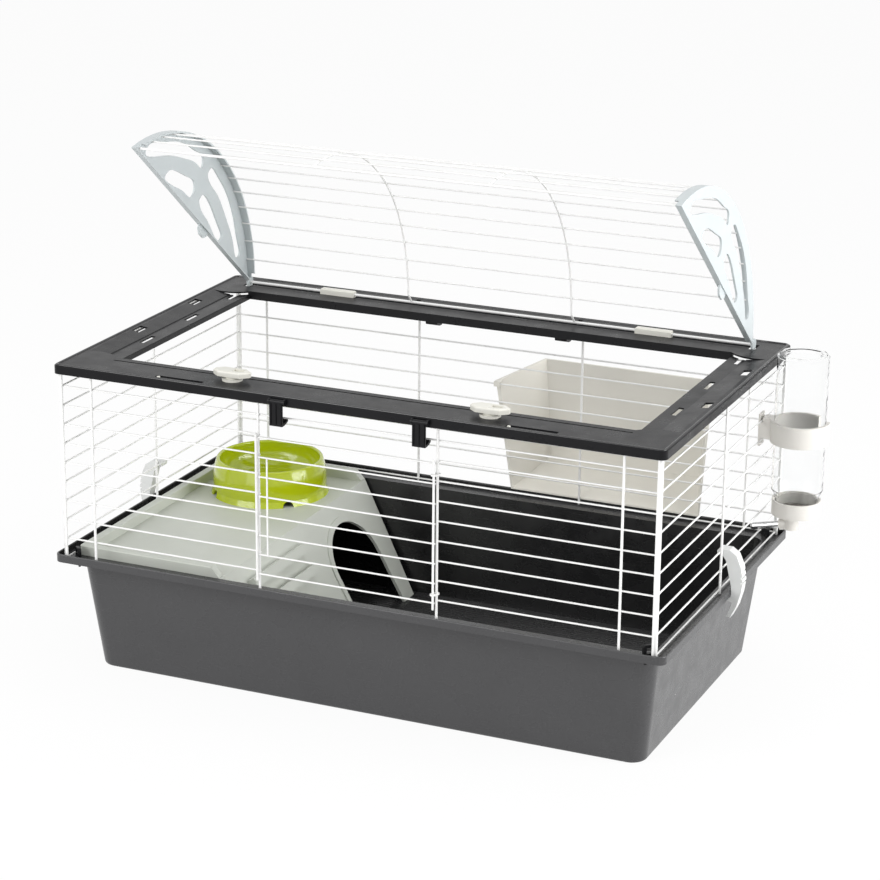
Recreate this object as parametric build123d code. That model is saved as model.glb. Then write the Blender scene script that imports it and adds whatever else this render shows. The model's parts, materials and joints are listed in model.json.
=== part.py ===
from build123d import *
import os
from math import atan2, cos, degrees, hypot, radians, sin, sqrt

# Small animal cage. Millimetres, X to the right, Y to the back, Z up.
# The origin is the middle of the tray's underside.

# Tray
RIM_LENGTH = 960.0
RIM_WIDTH = 572.0
RIM_TOP = 187.0
RIM_CORNER = 12.0
LIP_HEIGHT = 11.0
LIP_THICKNESS = 3.0
END_OVERHANG = 24.0
SIDE_OVERHANG = 30.0
BASE_LENGTH = RIM_LENGTH - 88.0
BASE_WIDTH = RIM_WIDTH - 96.0
BASE_CORNER = 24.0
BASE_EDGE = 5.0
TRAY_WALL = 3.0

# Wire panels
PANEL_SETBACK_X = 16.5
PANEL_SETBACK_Y = 8.0
UPRIGHT_WIRE = 3.8
LEVEL_WIRE = 2.6
WELD_SINK = 0.4
FOOT_CLEARANCE = 0.2
BOTTOM_WIRE_RISE = 4.0
FIRST_LEVEL_RISE = 30.0
LEVEL_PITCH = 29.5
LEVEL_COUNT = 9
UPRIGHT_INSET = 52.0
DOORWAY_HALF = 139.0
CORNER_POST_X = RIM_LENGTH / 2 - PANEL_SETBACK_X - 2.5
CORNER_POST_Y = RIM_WIDTH / 2 - PANEL_SETBACK_Y - 1.5
LEVEL_END_X = CORNER_POST_X - 0.7

# Top frame
FRAME_SETBACK = 8.0
FRAME_LENGTH = RIM_LENGTH - 2 * FRAME_SETBACK
FRAME_WIDTH = RIM_WIDTH
FRAME_TOP = RIM_TOP + 295.0
FRAME_DEPTH = 13.0
FRAME_CORNER = 10.0
FRAME_SKIN = 2.5
SIDE_RAIL_WIDTH = 69.0
FRONT_RAIL_WIDTH = 73.0
REAR_RAIL_WIDTH = 81.0
OPENING_HALF_X = FRAME_LENGTH / 2 - SIDE_RAIL_WIDTH
OPENING_FRONT = FRONT_RAIL_WIDTH - FRAME_WIDTH / 2
OPENING_REAR = FRAME_WIDTH / 2 - REAR_RAIL_WIDTH
LEDGE_DROP = 5.0
LEDGE_WIDTH = 27.0
SLOPE_WIDTH = 30.0
TOP_WIRE_CLEARANCE = 0.5
FRONT_GROOVE_BACK = 13.0
FRONT_GROOVE_WIDTH = 3.0
FRONT_GROOVE_DEPTH = 1.0
FRONT_RECESSES = (-270.0, 274.0)
FRONT_RECESS_Y = 16.0 - FRAME_WIDTH / 2
FRONT_RECESS_LENGTH = 76.0
FRONT_RECESS_WIDTH = 8.0
FRONT_RECESS_DEPTH = 1.5
LEDGE_SLOTS = (183.0, -94.0)
LEDGE_SLOT_LENGTH = 38.0
LEDGE_SLOT_WIDTH = 8.0
BAND_HOLES = (114.0, -61.0)
BAND_HOLE_LENGTH = 28.0
BAND_HOLE_WIDTH = 13.0
REAR_SLOT_Y = FRAME_WIDTH / 2 - 20.0
REAR_SLOT_LENGTH = 16.0
REAR_SLOT_WIDTH = 8.0
HINGE_GROOVE_WIDTH = 8.0
HINGE_GROOVE_DEPTH = 1.2
HINGE_POCKET_WIDTH = 12.0
HINGE_POCKET_LENGTH = 26.0

# Front door
DOOR_LEFT = -DOORWAY_HALF - 1.0
DOOR_RIGHT = DOORWAY_HALF - 3.0
DOOR_BOTTOM = RIM_TOP + 15.0
DOOR_TOP_PAST = 2.5
DOOR_WIRE = 3.4
DOOR_CROSS_WIRE = 2.5
DOOR_LEVEL_DROP = 2.5
DOOR_CLEARANCE = 0.5
DOOR_TIE_X = DOOR_LEFT + 17.0
HINGE_LOOP_WIRE = 2.2
HINGE_LOOP_CLEARANCE = 0.1

# Lid
HINGE_Y = FRAME_WIDTH / 2 - 41.0
HINGE_Z = FRAME_TOP + 4.0
LID_OPEN_ANGLE = 38.8
LID_END_X = OPENING_HALF_X + 21.0
LID_END_THICKNESS = 3.0
LID_EDGE_DROP = 3.5
LID_LENGTH = HINGE_Y - OPENING_FRONT + 6.5
LID_HEEL = 10.0
LID_APEX_S = LID_LENGTH / 2 + 2.75
LID_APEX_N = 110.0
LID_BACK_RADIUS = ((LID_APEX_S - LID_HEEL) ** 2 + LID_APEX_N ** 2) / (2 * LID_APEX_N)
LID_FRONT_RADIUS = ((LID_LENGTH - LID_APEX_S) ** 2 + LID_APEX_N ** 2) / (2 * LID_APEX_N)
LID_FLANGE = 12.0
LID_EYE_RADIUS = 9.0
LID_EYE_CLEAR = 14.0
LID_HEEL_CLEAR = 8.0
LID_TAB_S = 201.0
LID_TAB_X = OPENING_HALF_X + 18.5
LID_TAB_LENGTH = 31.0
LID_TAB_TIP = 15.0
LID_TAB_DEPTH = 13.0
LID_TAB_THICKNESS = 3.0
LID_EDGE_FLANGE = 6.0
LID_FLANGE_THICKNESS = 2.5
LID_WIRE = 2.6
LID_WIRE_PITCH = 31.0
LID_FRONT_WIRE = 3.8
HINGE_WIRE = 4.0
ARCH_WIRE = 3.0
ARCH_X = 137.0
NEAR = 0.1
END_GAP = 0.3
RETAINER_X = 266.0
RETAINER_LENGTH = 58.0
RETAINER_WIDTH = 12.0
RETAINER_TOP = HINGE_Z + 5.0
RETAINER_BEVEL = 1.5
RUNNING_CLEARANCE = 0.08

# Lid latches
LATCH_X = 200.0
LATCH_Y = 46.0 - FRAME_WIDTH / 2
LATCH_BASE_RADIUS = 15.0
LATCH_BASE_HEIGHT = 3.5
LATCH_PIN_RADIUS = 6.0
LATCH_NOSE_LENGTH = 58.0
LATCH_NOSE_WIDTH = 25.0
LATCH_NOSE_BOTTOM = FRAME_TOP + 7.0
LATCH_NOSE_HEIGHT = 8.0
LATCH_NOSE_TIP = 6.0
LATCH_NOSE_ROUND = 2.6
LATCH_COLLAR = 4.0
LATCH_SLOT_START = 2.0
LATCH_SLOT_END = 19.0
LATCH_SLOT_WIDTH = 10.0
LATCH_SLOT_DEPTH = 3.0

# Rail clips
CLIP_X = 110.0
CLIP_SHIFT = 6.0
CLIP_WIDTH = 20.0
CLIP_PIVOT_OUT = 4.0
CLIP_PIVOT_DOWN = 6.0
CLIP_BARREL_RADIUS = 3.4
CLIP_TRUNNION_RADIUS = 1.5
CLIP_LUG = 3.0
CLIP_LUG_RADIUS = 4.0
CLIP_PLATE = 3.0
CLIP_HOOK_CLEARANCE = 0.4
CLIP_HOOK_THICKNESS = 3.5
CLIP_HOOK_PAST = 2.6
CLIP_RIB = 2.0
CLIP_RIB_HEIGHT = 1.5

# Side clips
SIDE_CLIP_Y = 12.0
SIDE_CLIP_WIDTH = 18.0
SIDE_CLIP_LEVEL = 2
SIDE_CLIP_EYE = 4.7
SIDE_CLIP_REACH = 0.4
SIDE_CLIP_TONGUE = 6.5
SIDE_CLIP_RIM_GAP = 0.6
SIDE_CLIP_GROOVES = 5
SIDE_CLIP_GROOVE = 3.0
SIDE_CLIP_GROOVE_PITCH = 8.0
SIDE_CLIP_GROOVE_START = 10.0
SIDE_CLIP_THICKNESS = 14.0

# House
HOUSE_LEFT = 23.2 - RIM_LENGTH / 2
HOUSE_FRONT = 34.0 - RIM_WIDTH / 2
HOUSE_REAR = RIM_WIDTH / 2 - 38.0
HOUSE_FOLD_X = HOUSE_LEFT + 236.8
HOUSE_LIP_TOP = RIM_TOP + 7.0
HOUSE_LIP_SLOPE = 14.0
HOUSE_LIP_WIDTH = 13.0
HOUSE_CORNER = 24.0
HOUSE_SIDE_GAP = 0.6
HOUSE_LIP_CORNER = 6.0
HOUSE_LIP_BEVEL = 1.2
HOUSE_FLOOR_TOP = RIM_TOP - 9.0
HOUSE_PLATE = 2.5
RAMP_RUN = 99.0
RAMP_FOOT_FRONT = HOUSE_FRONT + 24.0
RAMP_FOOT_REAR = HOUSE_REAR - 24.0
HOUSE_DOOR_Y = 114.5
HOUSE_DOOR_HALF = 71.0
HOUSE_DOOR_TOP = 36.0
HOUSE_DOOR_RIM = 10.0
TREAD_FRONT = HOUSE_FRONT + 62.0
TREAD_REAR = HOUSE_DOOR_Y - HOUSE_DOOR_HALF - 60.5
TREAD_DEPTH = 13.0
TREAD_HEIGHT = 15.0
TREAD_PLACES = (26.0, 62.0)

# Bowl
BOWL_X = HOUSE_LEFT + 121.8
BOWL_Y = HOUSE_REAR - 112.0
BOWL_FOOT_RADIUS = 94.0
BOWL_RIM_RADIUS = 85.5
BOWL_SKIRT_RADIUS = 90.0
BOWL_SKIRT_RISE = 9.0
BOWL_BELLY_RADIUS = 90.5
BOWL_HEIGHT = 57.0
BOWL_WALL = 3.0
BOWL_FLOOR = 14.0
BOWL_NOTCH_COUNT = 4
BOWL_NOTCH_RADIUS = 9.0
BOWL_WELL_RADIUS = 53.0

# Hay rack
RACK_LEFT = -7.0
RACK_RIGHT = 350.0
RACK_BOTTOM = RIM_TOP
RACK_BOTTOM_INSET_LEFT = 29.0
RACK_BOTTOM_INSET_RIGHT = 12.0
RACK_DEPTH = 98.0
RACK_REAR_LEFT = RACK_LEFT + 45.0
RACK_REAR_RIGHT = RACK_RIGHT - 32.0
RACK_REAR_TOP = RIM_TOP + 193.0
RACK_REAR_BOTTOM = RIM_TOP + 28.0
RACK_REAR_INSET = 12.0
RACK_WALL = 2.5
RACK_LEVEL = 6
RACK_HOOK_WIDTH = 10.0
RACK_HOOK_LIP = 8.0
RACK_MOUTH = 30.0
SEAT_GAP = 0.3

# Drinker
DRINKER_X = RIM_LENGTH / 2 + 38.0
DRINKER_Y = 190.0
BOTTLE_RADIUS = 38.5
BOTTLE_WALL = 1.6
BOTTLE_TOP = RIM_TOP + 311.0
BOTTLE_SHOULDER = RIM_TOP + 102.0
BOTTLE_NECK_RADIUS = BOTTLE_RADIUS - 6.5
BOTTLE_DISH = 3.0
BOTTLE_NECK_RISE = 2.0
CAP_BOTTOM = RIM_TOP + 63.0
CAP_TOP = CAP_BOTTOM + 23.0
CAP_RADIUS = BOTTLE_RADIUS - 2.0
CAP_WALL = 2.6
CAP_FLOOR = 3.0
SEAL_THICKNESS = 2.0
RING_INNER_CLEARANCE = 0.35
RING_WALL = 5.0
RING_BOTTOM = RIM_TOP + 176.0
RING_TOP = RING_BOTTOM + 32.0
RING_GAP_ANGLE = 44.0
RING_GAP_DIRECTION = 38.0
SPOUT_START_X = DRINKER_X - 6.0
SPOUT_START_Z = CAP_BOTTOM - 17.0
SPOUT_TIP_X = RIM_LENGTH / 2 - 30.0
SPOUT_TIP_Z = CAP_BOTTOM - 31.0
SPOUT_RADIUS = 5.5
SPOUT_BORE = 3.5
SPOUT_MOUTH = 2.6
SPOUT_NECK = 4.0
SPOUT_CRIMP = 1.6
SOCKET_WALL = 3.0
SOCKET_LENGTH = 24.0
SOCKET_BACK = 6.0
HUB_RADIUS = 11.0
BALL_REST = 0.05
SEAL_WIDTH = 6.0
BALL_RADIUS = 3.2
HOOK_PLATE_WIDTH = 20.0
HOOK_PLATE_THICKNESS = 3.4

# Corner brackets
BRACKET_INSET = 13.0
BRACKET_WIDTH = 18.0
BRACKET_THICKNESS = 5.0
BRACKET_HEIGHT = 17.0
BRACKET_PRONG_SPACING = 10.0
BRACKET_PRONG = 3.0
BRACKET_PRONG_LENGTH = 12.0
BRACKET_CLEARANCE = 0.3

# Derived places
FLANGE_BOTTOM = RIM_TOP - LIP_HEIGHT
FLANGE_TOP = FLANGE_BOTTOM + TRAY_WALL
PANEL_X = RIM_LENGTH / 2 - PANEL_SETBACK_X
PANEL_Y = RIM_WIDTH / 2 - PANEL_SETBACK_Y
LEVEL_RADIUS = LEVEL_WIRE / 2
UPRIGHT_RADIUS = UPRIGHT_WIRE / 2
WIRE_OFFSET = LEVEL_RADIUS + UPRIGHT_RADIUS - WELD_SINK
LEVEL_IN = LEVEL_RADIUS + WELD_SINK / 2
UPRIGHT_OUT = WIRE_OFFSET - LEVEL_IN
BOTTOM_WIRE_Z = FLANGE_TOP + BOTTOM_WIRE_RISE
FRAME_BOTTOM = FRAME_TOP - FRAME_DEPTH
TOP_WIRE_Z = FRAME_TOP - FRAME_SKIN - TOP_WIRE_CLEARANCE - LEVEL_RADIUS
UPRIGHT_BOTTOM = FLANGE_TOP + FOOT_CLEARANCE
UPRIGHT_TOP = TOP_WIRE_Z + TOP_WIRE_CLEARANCE / 2
UPRIGHT_X = PANEL_X - UPRIGHT_INSET
WALL_FRONT_Y = -(PANEL_Y + UPRIGHT_OUT)
TRAY_FLOOR = TRAY_WALL


def level_z(level):
    """Height of a wall's level wire, counted from 1 at the bottom."""
    return BOTTOM_WIRE_Z + FIRST_LEVEL_RISE + LEVEL_PITCH * (level - 1)


def wire(start, end, diameter):
    """A straight round wire between two points."""
    a = Vector(*start)
    b = Vector(*end)
    return Solid.make_cylinder(diameter / 2, (b - a).length, Plane(a, z_dir=(b - a)))


def joined(pieces):
    """One body out of pieces that are welded or moulded together."""
    first = pieces[0]
    return first.fuse(*pieces[1:]) if len(pieces) > 1 else first


def box(x0, x1, y0, y1, z0, z1):
    """A block from its lowest to its highest corner."""
    middle = ((x0 + x1) / 2, (y0 + y1) / 2, (z0 + z1) / 2)
    return Pos(*middle) * Box(x1 - x0, y1 - y0, z1 - z0)


def rounded_plate(length, width, corner, z, y=0.0):
    """A flat rounded rectangle at height z."""
    return Pos(0, y, z) * RectangleRounded(length, width, corner)


def prism_y(points, y0, y1):
    """A section given as (x, z) points, carried along Y."""
    face = make_face(Polyline(*[(x, y0, z) for x, z in points], close=True))
    return extrude(face, amount=y1 - y0, dir=(0, 1, 0))


def slot_block(x, y, length_x, length_y, z0, z1):
    """A block centred at x and y, for cutting a slot."""
    return box(x - length_x / 2, x + length_x / 2, y - length_y / 2, y + length_y / 2, z0, z1)


def rod_x(radius, x0, x1, y, z):
    """A round bar along X."""
    return Solid.make_cylinder(radius, x1 - x0, Plane((x0, y, z), z_dir=(1, 0, 0)))


def rod_y(radius, y0, y1, x, z):
    """A round bar along Y."""
    return Solid.make_cylinder(radius, y1 - y0, Plane((x, y0, z), z_dir=(0, 1, 0)))


def rod_z(radius, z0, z1, x, y):
    """A round bar along Z."""
    return Solid.make_cylinder(radius, z1 - z0, Plane((x, y, z0), z_dir=(0, 0, 1)))


def bracket_places():
    """The four corner bracket places: x, y and the turn that faces the corner."""
    x = PANEL_X - BRACKET_INSET
    y = PANEL_Y - BRACKET_INSET
    return [(sx * x, sy * y, 45.0 * sx * sy) for sx in (-1, 1) for sy in (-1, 1)]


def bracket_prongs(x, y, turn, size, z0, z1):
    """The two feet of a corner bracket, as blocks."""
    half = BRACKET_PRONG_SPACING / 2
    feet = []
    for side in (-half, half):
        foot = Pos(0, side, (z0 + z1) / 2) * Box(size, size, z1 - z0)
        feet.append(Pos(x, y, 0) * Rot(0, 0, turn) * foot)
    return feet


def make_tray():
    """A tapered box with a flange, an upright outer lip and holes for the bracket feet."""
    top_length = RIM_LENGTH - 2 * END_OVERHANG
    top_width = RIM_WIDTH - 2 * SIDE_OVERHANG
    taper = (top_length - BASE_LENGTH) / FLANGE_BOTTOM
    outer = loft(
        [
            rounded_plate(BASE_LENGTH, BASE_WIDTH, BASE_CORNER, 0),
            rounded_plate(top_length, top_width, BASE_CORNER, FLANGE_TOP),
        ],
        ruled=True,
    )
    outer = fillet(outer.faces().sort_by(Axis.Z)[0].edges(), BASE_EDGE)
    inside_corner = BASE_CORNER - TRAY_WALL
    floor_growth = taper * TRAY_FLOOR
    inner = loft(
        [
            rounded_plate(
                BASE_LENGTH + floor_growth - 2 * TRAY_WALL,
                BASE_WIDTH + floor_growth - 2 * TRAY_WALL,
                inside_corner,
                TRAY_FLOOR,
            ),
            rounded_plate(
                top_length - 2 * TRAY_WALL, top_width - 2 * TRAY_WALL, inside_corner, FLANGE_TOP
            ),
        ],
        ruled=True,
    )
    rim = rounded_plate(RIM_LENGTH, RIM_WIDTH, RIM_CORNER, FLANGE_BOTTOM)
    flange = extrude(rim, amount=TRAY_WALL)
    lip_outer = extrude(rim, amount=LIP_HEIGHT)
    lip_inner = extrude(
        rounded_plate(
            RIM_LENGTH - 2 * LIP_THICKNESS,
            RIM_WIDTH - 2 * LIP_THICKNESS,
            RIM_CORNER - LIP_THICKNESS,
            FLANGE_BOTTOM,
        ),
        amount=LIP_HEIGHT,
    )
    tray = outer + flange + (lip_outer - lip_inner) - inner
    hole = BRACKET_PRONG + 2 * BRACKET_CLEARANCE
    for x, y, turn in bracket_places():
        for foot in bracket_prongs(x, y, turn, hole, FLANGE_BOTTOM - 1, FLANGE_TOP + 1):
            tray = tray - foot
    return tray


def make_corner_brackets():
    """Four slotted loops that stand on the flange, with two feet through it."""
    brackets = []
    slot_width = BRACKET_WIDTH / 2
    slot_height = BRACKET_HEIGHT / 2
    for x, y, turn in bracket_places():
        plate = Pos(0, 0, FLANGE_TOP + BRACKET_HEIGHT / 2) * Box(
            BRACKET_THICKNESS, BRACKET_WIDTH, BRACKET_HEIGHT
        )
        plate = fillet(plate.edges().filter_by(Axis.X).group_by(Axis.Z)[-1], BRACKET_WIDTH / 4)
        slot = Pos(0, 0, FLANGE_TOP + BRACKET_HEIGHT / 2) * Box(
            2 * BRACKET_THICKNESS, slot_width, slot_height
        )
        loop = Pos(x, y, 0) * Rot(0, 0, turn) * (plate - slot)
        feet = bracket_prongs(
            x, y, turn, BRACKET_PRONG, FLANGE_TOP - BRACKET_PRONG_LENGTH, FLANGE_TOP + 1
        )
        brackets.append(loop + feet)
    return brackets


def level_heights():
    """Every horizontal wire of a wall, from the bottom wire to the one under the rail."""
    middle = [level_z(level) for level in range(1, LEVEL_COUNT + 1)]
    return [BOTTOM_WIRE_Z] + middle + [TOP_WIRE_Z]


def make_rear_panel():
    """The rear wall as one welded grid."""
    level_y = PANEL_Y - LEVEL_IN
    upright_y = PANEL_Y + UPRIGHT_OUT
    wires = []
    for x in (-CORNER_POST_X, -UPRIGHT_X, -DOORWAY_HALF, DOORWAY_HALF, UPRIGHT_X, CORNER_POST_X):
        wires.append(wire((x, upright_y, UPRIGHT_BOTTOM), (x, upright_y, UPRIGHT_TOP), UPRIGHT_WIRE))
    for z in level_heights():
        wires.append(wire((-LEVEL_END_X, level_y, z), (LEVEL_END_X, level_y, z), LEVEL_WIRE))
    return [joined(wires)]


def make_front_panel():
    """The front wall: a grid each side of the doorway, and the three wires across the doorway."""
    level_y = -(PANEL_Y - LEVEL_IN)
    upright_y = -(PANEL_Y + UPRIGHT_OUT)
    bridge_end = DOORWAY_HALF - UPRIGHT_RADIUS - TOP_WIRE_CLEARANCE
    pieces = []
    for side in (-1, 1):
        wires = []
        for x in (DOORWAY_HALF, UPRIGHT_X, CORNER_POST_X):
            start = (side * x, upright_y, UPRIGHT_BOTTOM)
            wires.append(wire(start, (side * x, upright_y, UPRIGHT_TOP), UPRIGHT_WIRE))
        for z in level_heights():
            crosses = z in (BOTTOM_WIRE_Z, level_z(LEVEL_COUNT), TOP_WIRE_Z)
            inner = bridge_end if crosses else DOORWAY_HALF
            wires.append(wire((side * inner, level_y, z), (side * LEVEL_END_X, level_y, z), LEVEL_WIRE))
        pieces.append(joined(wires))
    for z in (BOTTOM_WIRE_Z, level_z(LEVEL_COUNT), TOP_WIRE_Z):
        pieces.append(wire((-bridge_end, level_y, z), (bridge_end, level_y, z), LEVEL_WIRE))
    return pieces


def make_side_panel(side):
    """A side wall: corner posts, one middle upright and its level wires."""
    level_x = side * (PANEL_X - LEVEL_IN)
    upright_x = side * (PANEL_X + UPRIGHT_OUT)
    wires = []
    for y in (-CORNER_POST_Y, 0.0, CORNER_POST_Y):
        wires.append(wire((upright_x, y, UPRIGHT_BOTTOM), (upright_x, y, UPRIGHT_TOP), UPRIGHT_WIRE))
    for z in level_heights():
        wires.append(wire((level_x, -CORNER_POST_Y, z), (level_x, CORNER_POST_Y, z), LEVEL_WIRE))
    return [joined(wires)]


def door_planes():
    """The Y of the door's cross wires and of its side wires."""
    cross_y = WALL_FRONT_Y - UPRIGHT_RADIUS - DOOR_CLEARANCE - DOOR_CROSS_WIRE / 2
    side_y = cross_y - DOOR_CROSS_WIRE / 2 - DOOR_WIRE / 2 + WELD_SINK
    return cross_y, side_y


def make_front_door():
    """The wire door: two side wires with round ends, eight cross wires and a short tie."""
    cross_y, side_y = door_planes()
    door_top = level_z(LEVEL_COUNT - 1) + DOOR_TOP_PAST
    wires = []
    for x in (DOOR_LEFT, DOOR_RIGHT):
        wires.append(wire((x, side_y, DOOR_BOTTOM), (x, side_y, door_top), DOOR_WIRE))
        wires.append(Solid.make_sphere(DOOR_WIRE / 2, Plane((x, side_y, DOOR_BOTTOM))))
        wires.append(Solid.make_sphere(DOOR_WIRE / 2, Plane((x, side_y, door_top))))
    overlap = DOOR_WIRE / 2
    levels = [level_z(level) - DOOR_LEVEL_DROP for level in range(1, LEVEL_COUNT)]
    for z in levels:
        start = (DOOR_LEFT - overlap, cross_y, z)
        wires.append(wire(start, (DOOR_RIGHT + overlap, cross_y, z), DOOR_CROSS_WIRE))
    tie_y = cross_y - DOOR_CROSS_WIRE + WELD_SINK
    wires.append(wire((DOOR_TIE_X, tie_y, levels[1]), (DOOR_TIE_X, tie_y, levels[-2]), DOOR_CROSS_WIRE))
    return [joined(wires)]


def make_door_hinge_loops():
    """Two oval rings, fast on the door's side wire and running on the wall upright."""
    cross_y, side_y = door_planes()
    door_wire = Vector(DOOR_RIGHT, side_y)
    upright = Vector(DOORWAY_HALF, WALL_FRONT_Y)
    middle = (door_wire + upright) / 2
    reach = (upright - door_wire).length
    turn = degrees(atan2(upright.Y - door_wire.Y, upright.X - door_wire.X))
    bore = UPRIGHT_RADIUS + HINGE_LOOP_CLEARANCE
    outer = bore + HINGE_LOOP_WIRE
    loops = []
    first = level_z(1) + LEVEL_PITCH / 3
    last = level_z(LEVEL_COUNT - 2) + LEVEL_PITCH / 3
    for z in (first, last):
        plan = SlotCenterToCenter(reach, 2 * outer) - SlotCenterToCenter(reach, 2 * bore)
        loop = extrude(plan, amount=HINGE_LOOP_WIRE)
        loops.append(Pos(middle.X, middle.Y, z) * Rot(0, 0, turn) * loop)
    return loops


def frame_ring():
    """The top frame before it is parted: a rounded ring with a hollow underside."""
    opening_depth = OPENING_REAR - OPENING_FRONT
    opening_y = (OPENING_REAR + OPENING_FRONT) / 2
    plan = RectangleRounded(FRAME_LENGTH, FRAME_WIDTH, FRAME_CORNER)
    hole = Pos(0, opening_y, 0) * Rectangle(2 * OPENING_HALF_X, opening_depth)
    ring = Pos(0, 0, FRAME_BOTTOM) * extrude(plan - hole, amount=FRAME_DEPTH)
    inner_plan = RectangleRounded(
        FRAME_LENGTH - 2 * FRAME_SKIN, FRAME_WIDTH - 2 * FRAME_SKIN, FRAME_CORNER - FRAME_SKIN
    )
    inner_hole = Pos(0, opening_y, 0) * Rectangle(
        2 * OPENING_HALF_X + 2 * FRAME_SKIN, opening_depth + 2 * FRAME_SKIN
    )
    hollow = Pos(0, 0, FRAME_BOTTOM) * extrude(
        inner_plan - inner_hole, amount=FRAME_DEPTH - FRAME_SKIN
    )
    top_edges = ring.faces().sort_by(Axis.Z)[-1].outer_wire().edges()
    return chamfer(top_edges, FRAME_SKIN / 2) - hollow


def end_region(side):
    """The plan of the front (-1) or rear (1) rail, with rounded tongues over the side rails."""
    edge = OPENING_FRONT if side < 0 else OPENING_REAR
    outer = side * FRAME_WIDTH
    tongue = -side * (FRAME_LENGTH / 2 - OPENING_HALF_X) / 4
    half = FRAME_LENGTH / 2 + 1
    mid = (OPENING_HALF_X + half) / 2
    outline = [
        Line((-OPENING_HALF_X, edge), (OPENING_HALF_X, edge)),
        ThreePointArc((OPENING_HALF_X, edge), (mid, edge + tongue), (half, edge + tongue / 2)),
        Line((half, edge + tongue / 2), (half, outer)),
        Line((half, outer), (-half, outer)),
        Line((-half, outer), (-half, edge + tongue / 2)),
        ThreePointArc((-half, edge + tongue / 2), (-mid, edge + tongue), (-OPENING_HALF_X, edge)),
    ]
    return Pos(0, 0, FRAME_BOTTOM - 1) * extrude(make_face(outline), amount=FRAME_DEPTH + 2, dir=(0, 0, 1))


def clip_places():
    """Where the rail clips hang: x, side (-1 front, 1 rear), pivot y and pivot z."""
    pivot_z = FRAME_TOP - CLIP_PIVOT_DOWN
    places = []
    for side in (-1, 1):
        for sx in (-1, 1):
            pivot_y = side * (FRAME_WIDTH / 2 + CLIP_PIVOT_OUT)
            places.append((sx * CLIP_X - side * CLIP_SHIFT, side, pivot_y, pivot_z))
    return places


def clip_lugs(side):
    """The pairs of lugs on a rail that hold its clips."""
    lugs = []
    for x, place_side, pivot_y, pivot_z in clip_places():
        if place_side != side:
            continue
        for sx in (-1, 1):
            near = x + sx * (CLIP_WIDTH / 2 + END_GAP)
            far = near + sx * CLIP_LUG
            low, high = min(near, far), max(near, far)
            face_y = side * FRAME_WIDTH / 2
            foot = box(
                low, high, min(face_y, pivot_y), max(face_y, pivot_y),
                pivot_z - CLIP_LUG_RADIUS, pivot_z + CLIP_LUG_RADIUS,
            )
            eye = rod_x(CLIP_LUG_RADIUS, low, high, pivot_y, pivot_z)
            bore = rod_x(
                CLIP_TRUNNION_RADIUS + RUNNING_CLEARANCE, low - 1, high + 1, pivot_y, pivot_z
            )
            lugs.append(foot + eye - bore)
    return lugs


def make_end_rail(side):
    """The front or rear rail with its clip lugs, grooves and slots."""
    rail = frame_ring() & end_region(side)
    for lug in clip_lugs(side):
        rail = rail + lug
    top = FRAME_TOP
    if side < 0:
        groove_y = OPENING_FRONT - FRONT_GROOVE_BACK
        rail = rail - slot_block(
            0, groove_y, 2 * OPENING_HALF_X, FRONT_GROOVE_WIDTH, top - FRONT_GROOVE_DEPTH, top + 1
        )
        for x in FRONT_RECESSES:
            rail = rail - slot_block(
                x, FRONT_RECESS_Y, FRONT_RECESS_LENGTH, FRONT_RECESS_WIDTH, top - FRONT_RECESS_DEPTH, top + 1
            )
    else:
        rail = rail - slot_block(
            0, HINGE_Y, 2 * (LID_END_X - LID_END_THICKNESS), HINGE_GROOVE_WIDTH,
            top - HINGE_GROOVE_DEPTH, top + 1,
        )
        through = top - 2 * FRAME_SKIN
        for sx in (-1, 1):
            rail = rail - slot_block(
                sx * LID_END_X, HINGE_Y, HINGE_POCKET_WIDTH, HINGE_POCKET_LENGTH, through, top + 1
            )
            rail = rail - slot_block(
                sx * ARCH_X, REAR_SLOT_Y, REAR_SLOT_WIDTH, REAR_SLOT_LENGTH, through, top + 1
            )
    return [rail]


def make_side_rail(side):
    """A side rail: outer band, slope and inner ledge with the slots for the lid's tabs."""
    inner = OPENING_HALF_X
    outer = FRAME_LENGTH / 2
    ledge_end = inner + LEDGE_WIDTH
    slope_end = ledge_end + SLOPE_WIDTH
    ledge = FRAME_TOP - LEDGE_DROP
    skin = FRAME_SKIN
    bevel = FRAME_SKIN / 2
    section = [
        (inner, FRAME_BOTTOM), (inner, ledge - bevel), (inner + bevel, ledge), (ledge_end, ledge),
        (ledge_end + bevel, ledge + bevel), (slope_end, FRAME_TOP), (outer - bevel, FRAME_TOP),
        (outer, FRAME_TOP - bevel), (outer, FRAME_BOTTOM),
    ]
    hollow = [
        (inner + skin, FRAME_BOTTOM), (inner + skin, ledge - skin), (ledge_end + skin, ledge - skin),
        (slope_end, FRAME_TOP - skin), (outer - skin, FRAME_TOP - skin), (outer - skin, FRAME_BOTTOM),
    ]
    half = FRAME_WIDTH / 2
    bar = prism_y([(side * x, z) for x, z in section], -half, half)
    bar = bar - prism_y([(side * x, z) for x, z in hollow], -half, half)
    rail = bar - end_region(-1) - end_region(1)
    for y in LEDGE_SLOTS + (HINGE_Y - LID_TAB_S,):
        rail = rail - slot_block(
            side * LID_TAB_X, y, LEDGE_SLOT_WIDTH, LEDGE_SLOT_LENGTH, ledge - 2 * skin, ledge + 1
        )
    for y in BAND_HOLES:
        rail = rail - slot_block(
            side * (slope_end - BAND_HOLE_WIDTH / 2), y, BAND_HOLE_WIDTH, BAND_HOLE_LENGTH,
            FRAME_TOP - 2 * LEDGE_DROP, FRAME_TOP + 1,
        )
    return [rail]


def lid_place(s, n, x=0.0):
    """A point of the lid, s from the hinge to the tip and n away from the cage, as it stands open."""
    a = radians(LID_OPEN_ANGLE)
    return (x, HINGE_Y - s * cos(a) + n * sin(a), HINGE_Z + s * sin(a) + n * cos(a))


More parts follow.
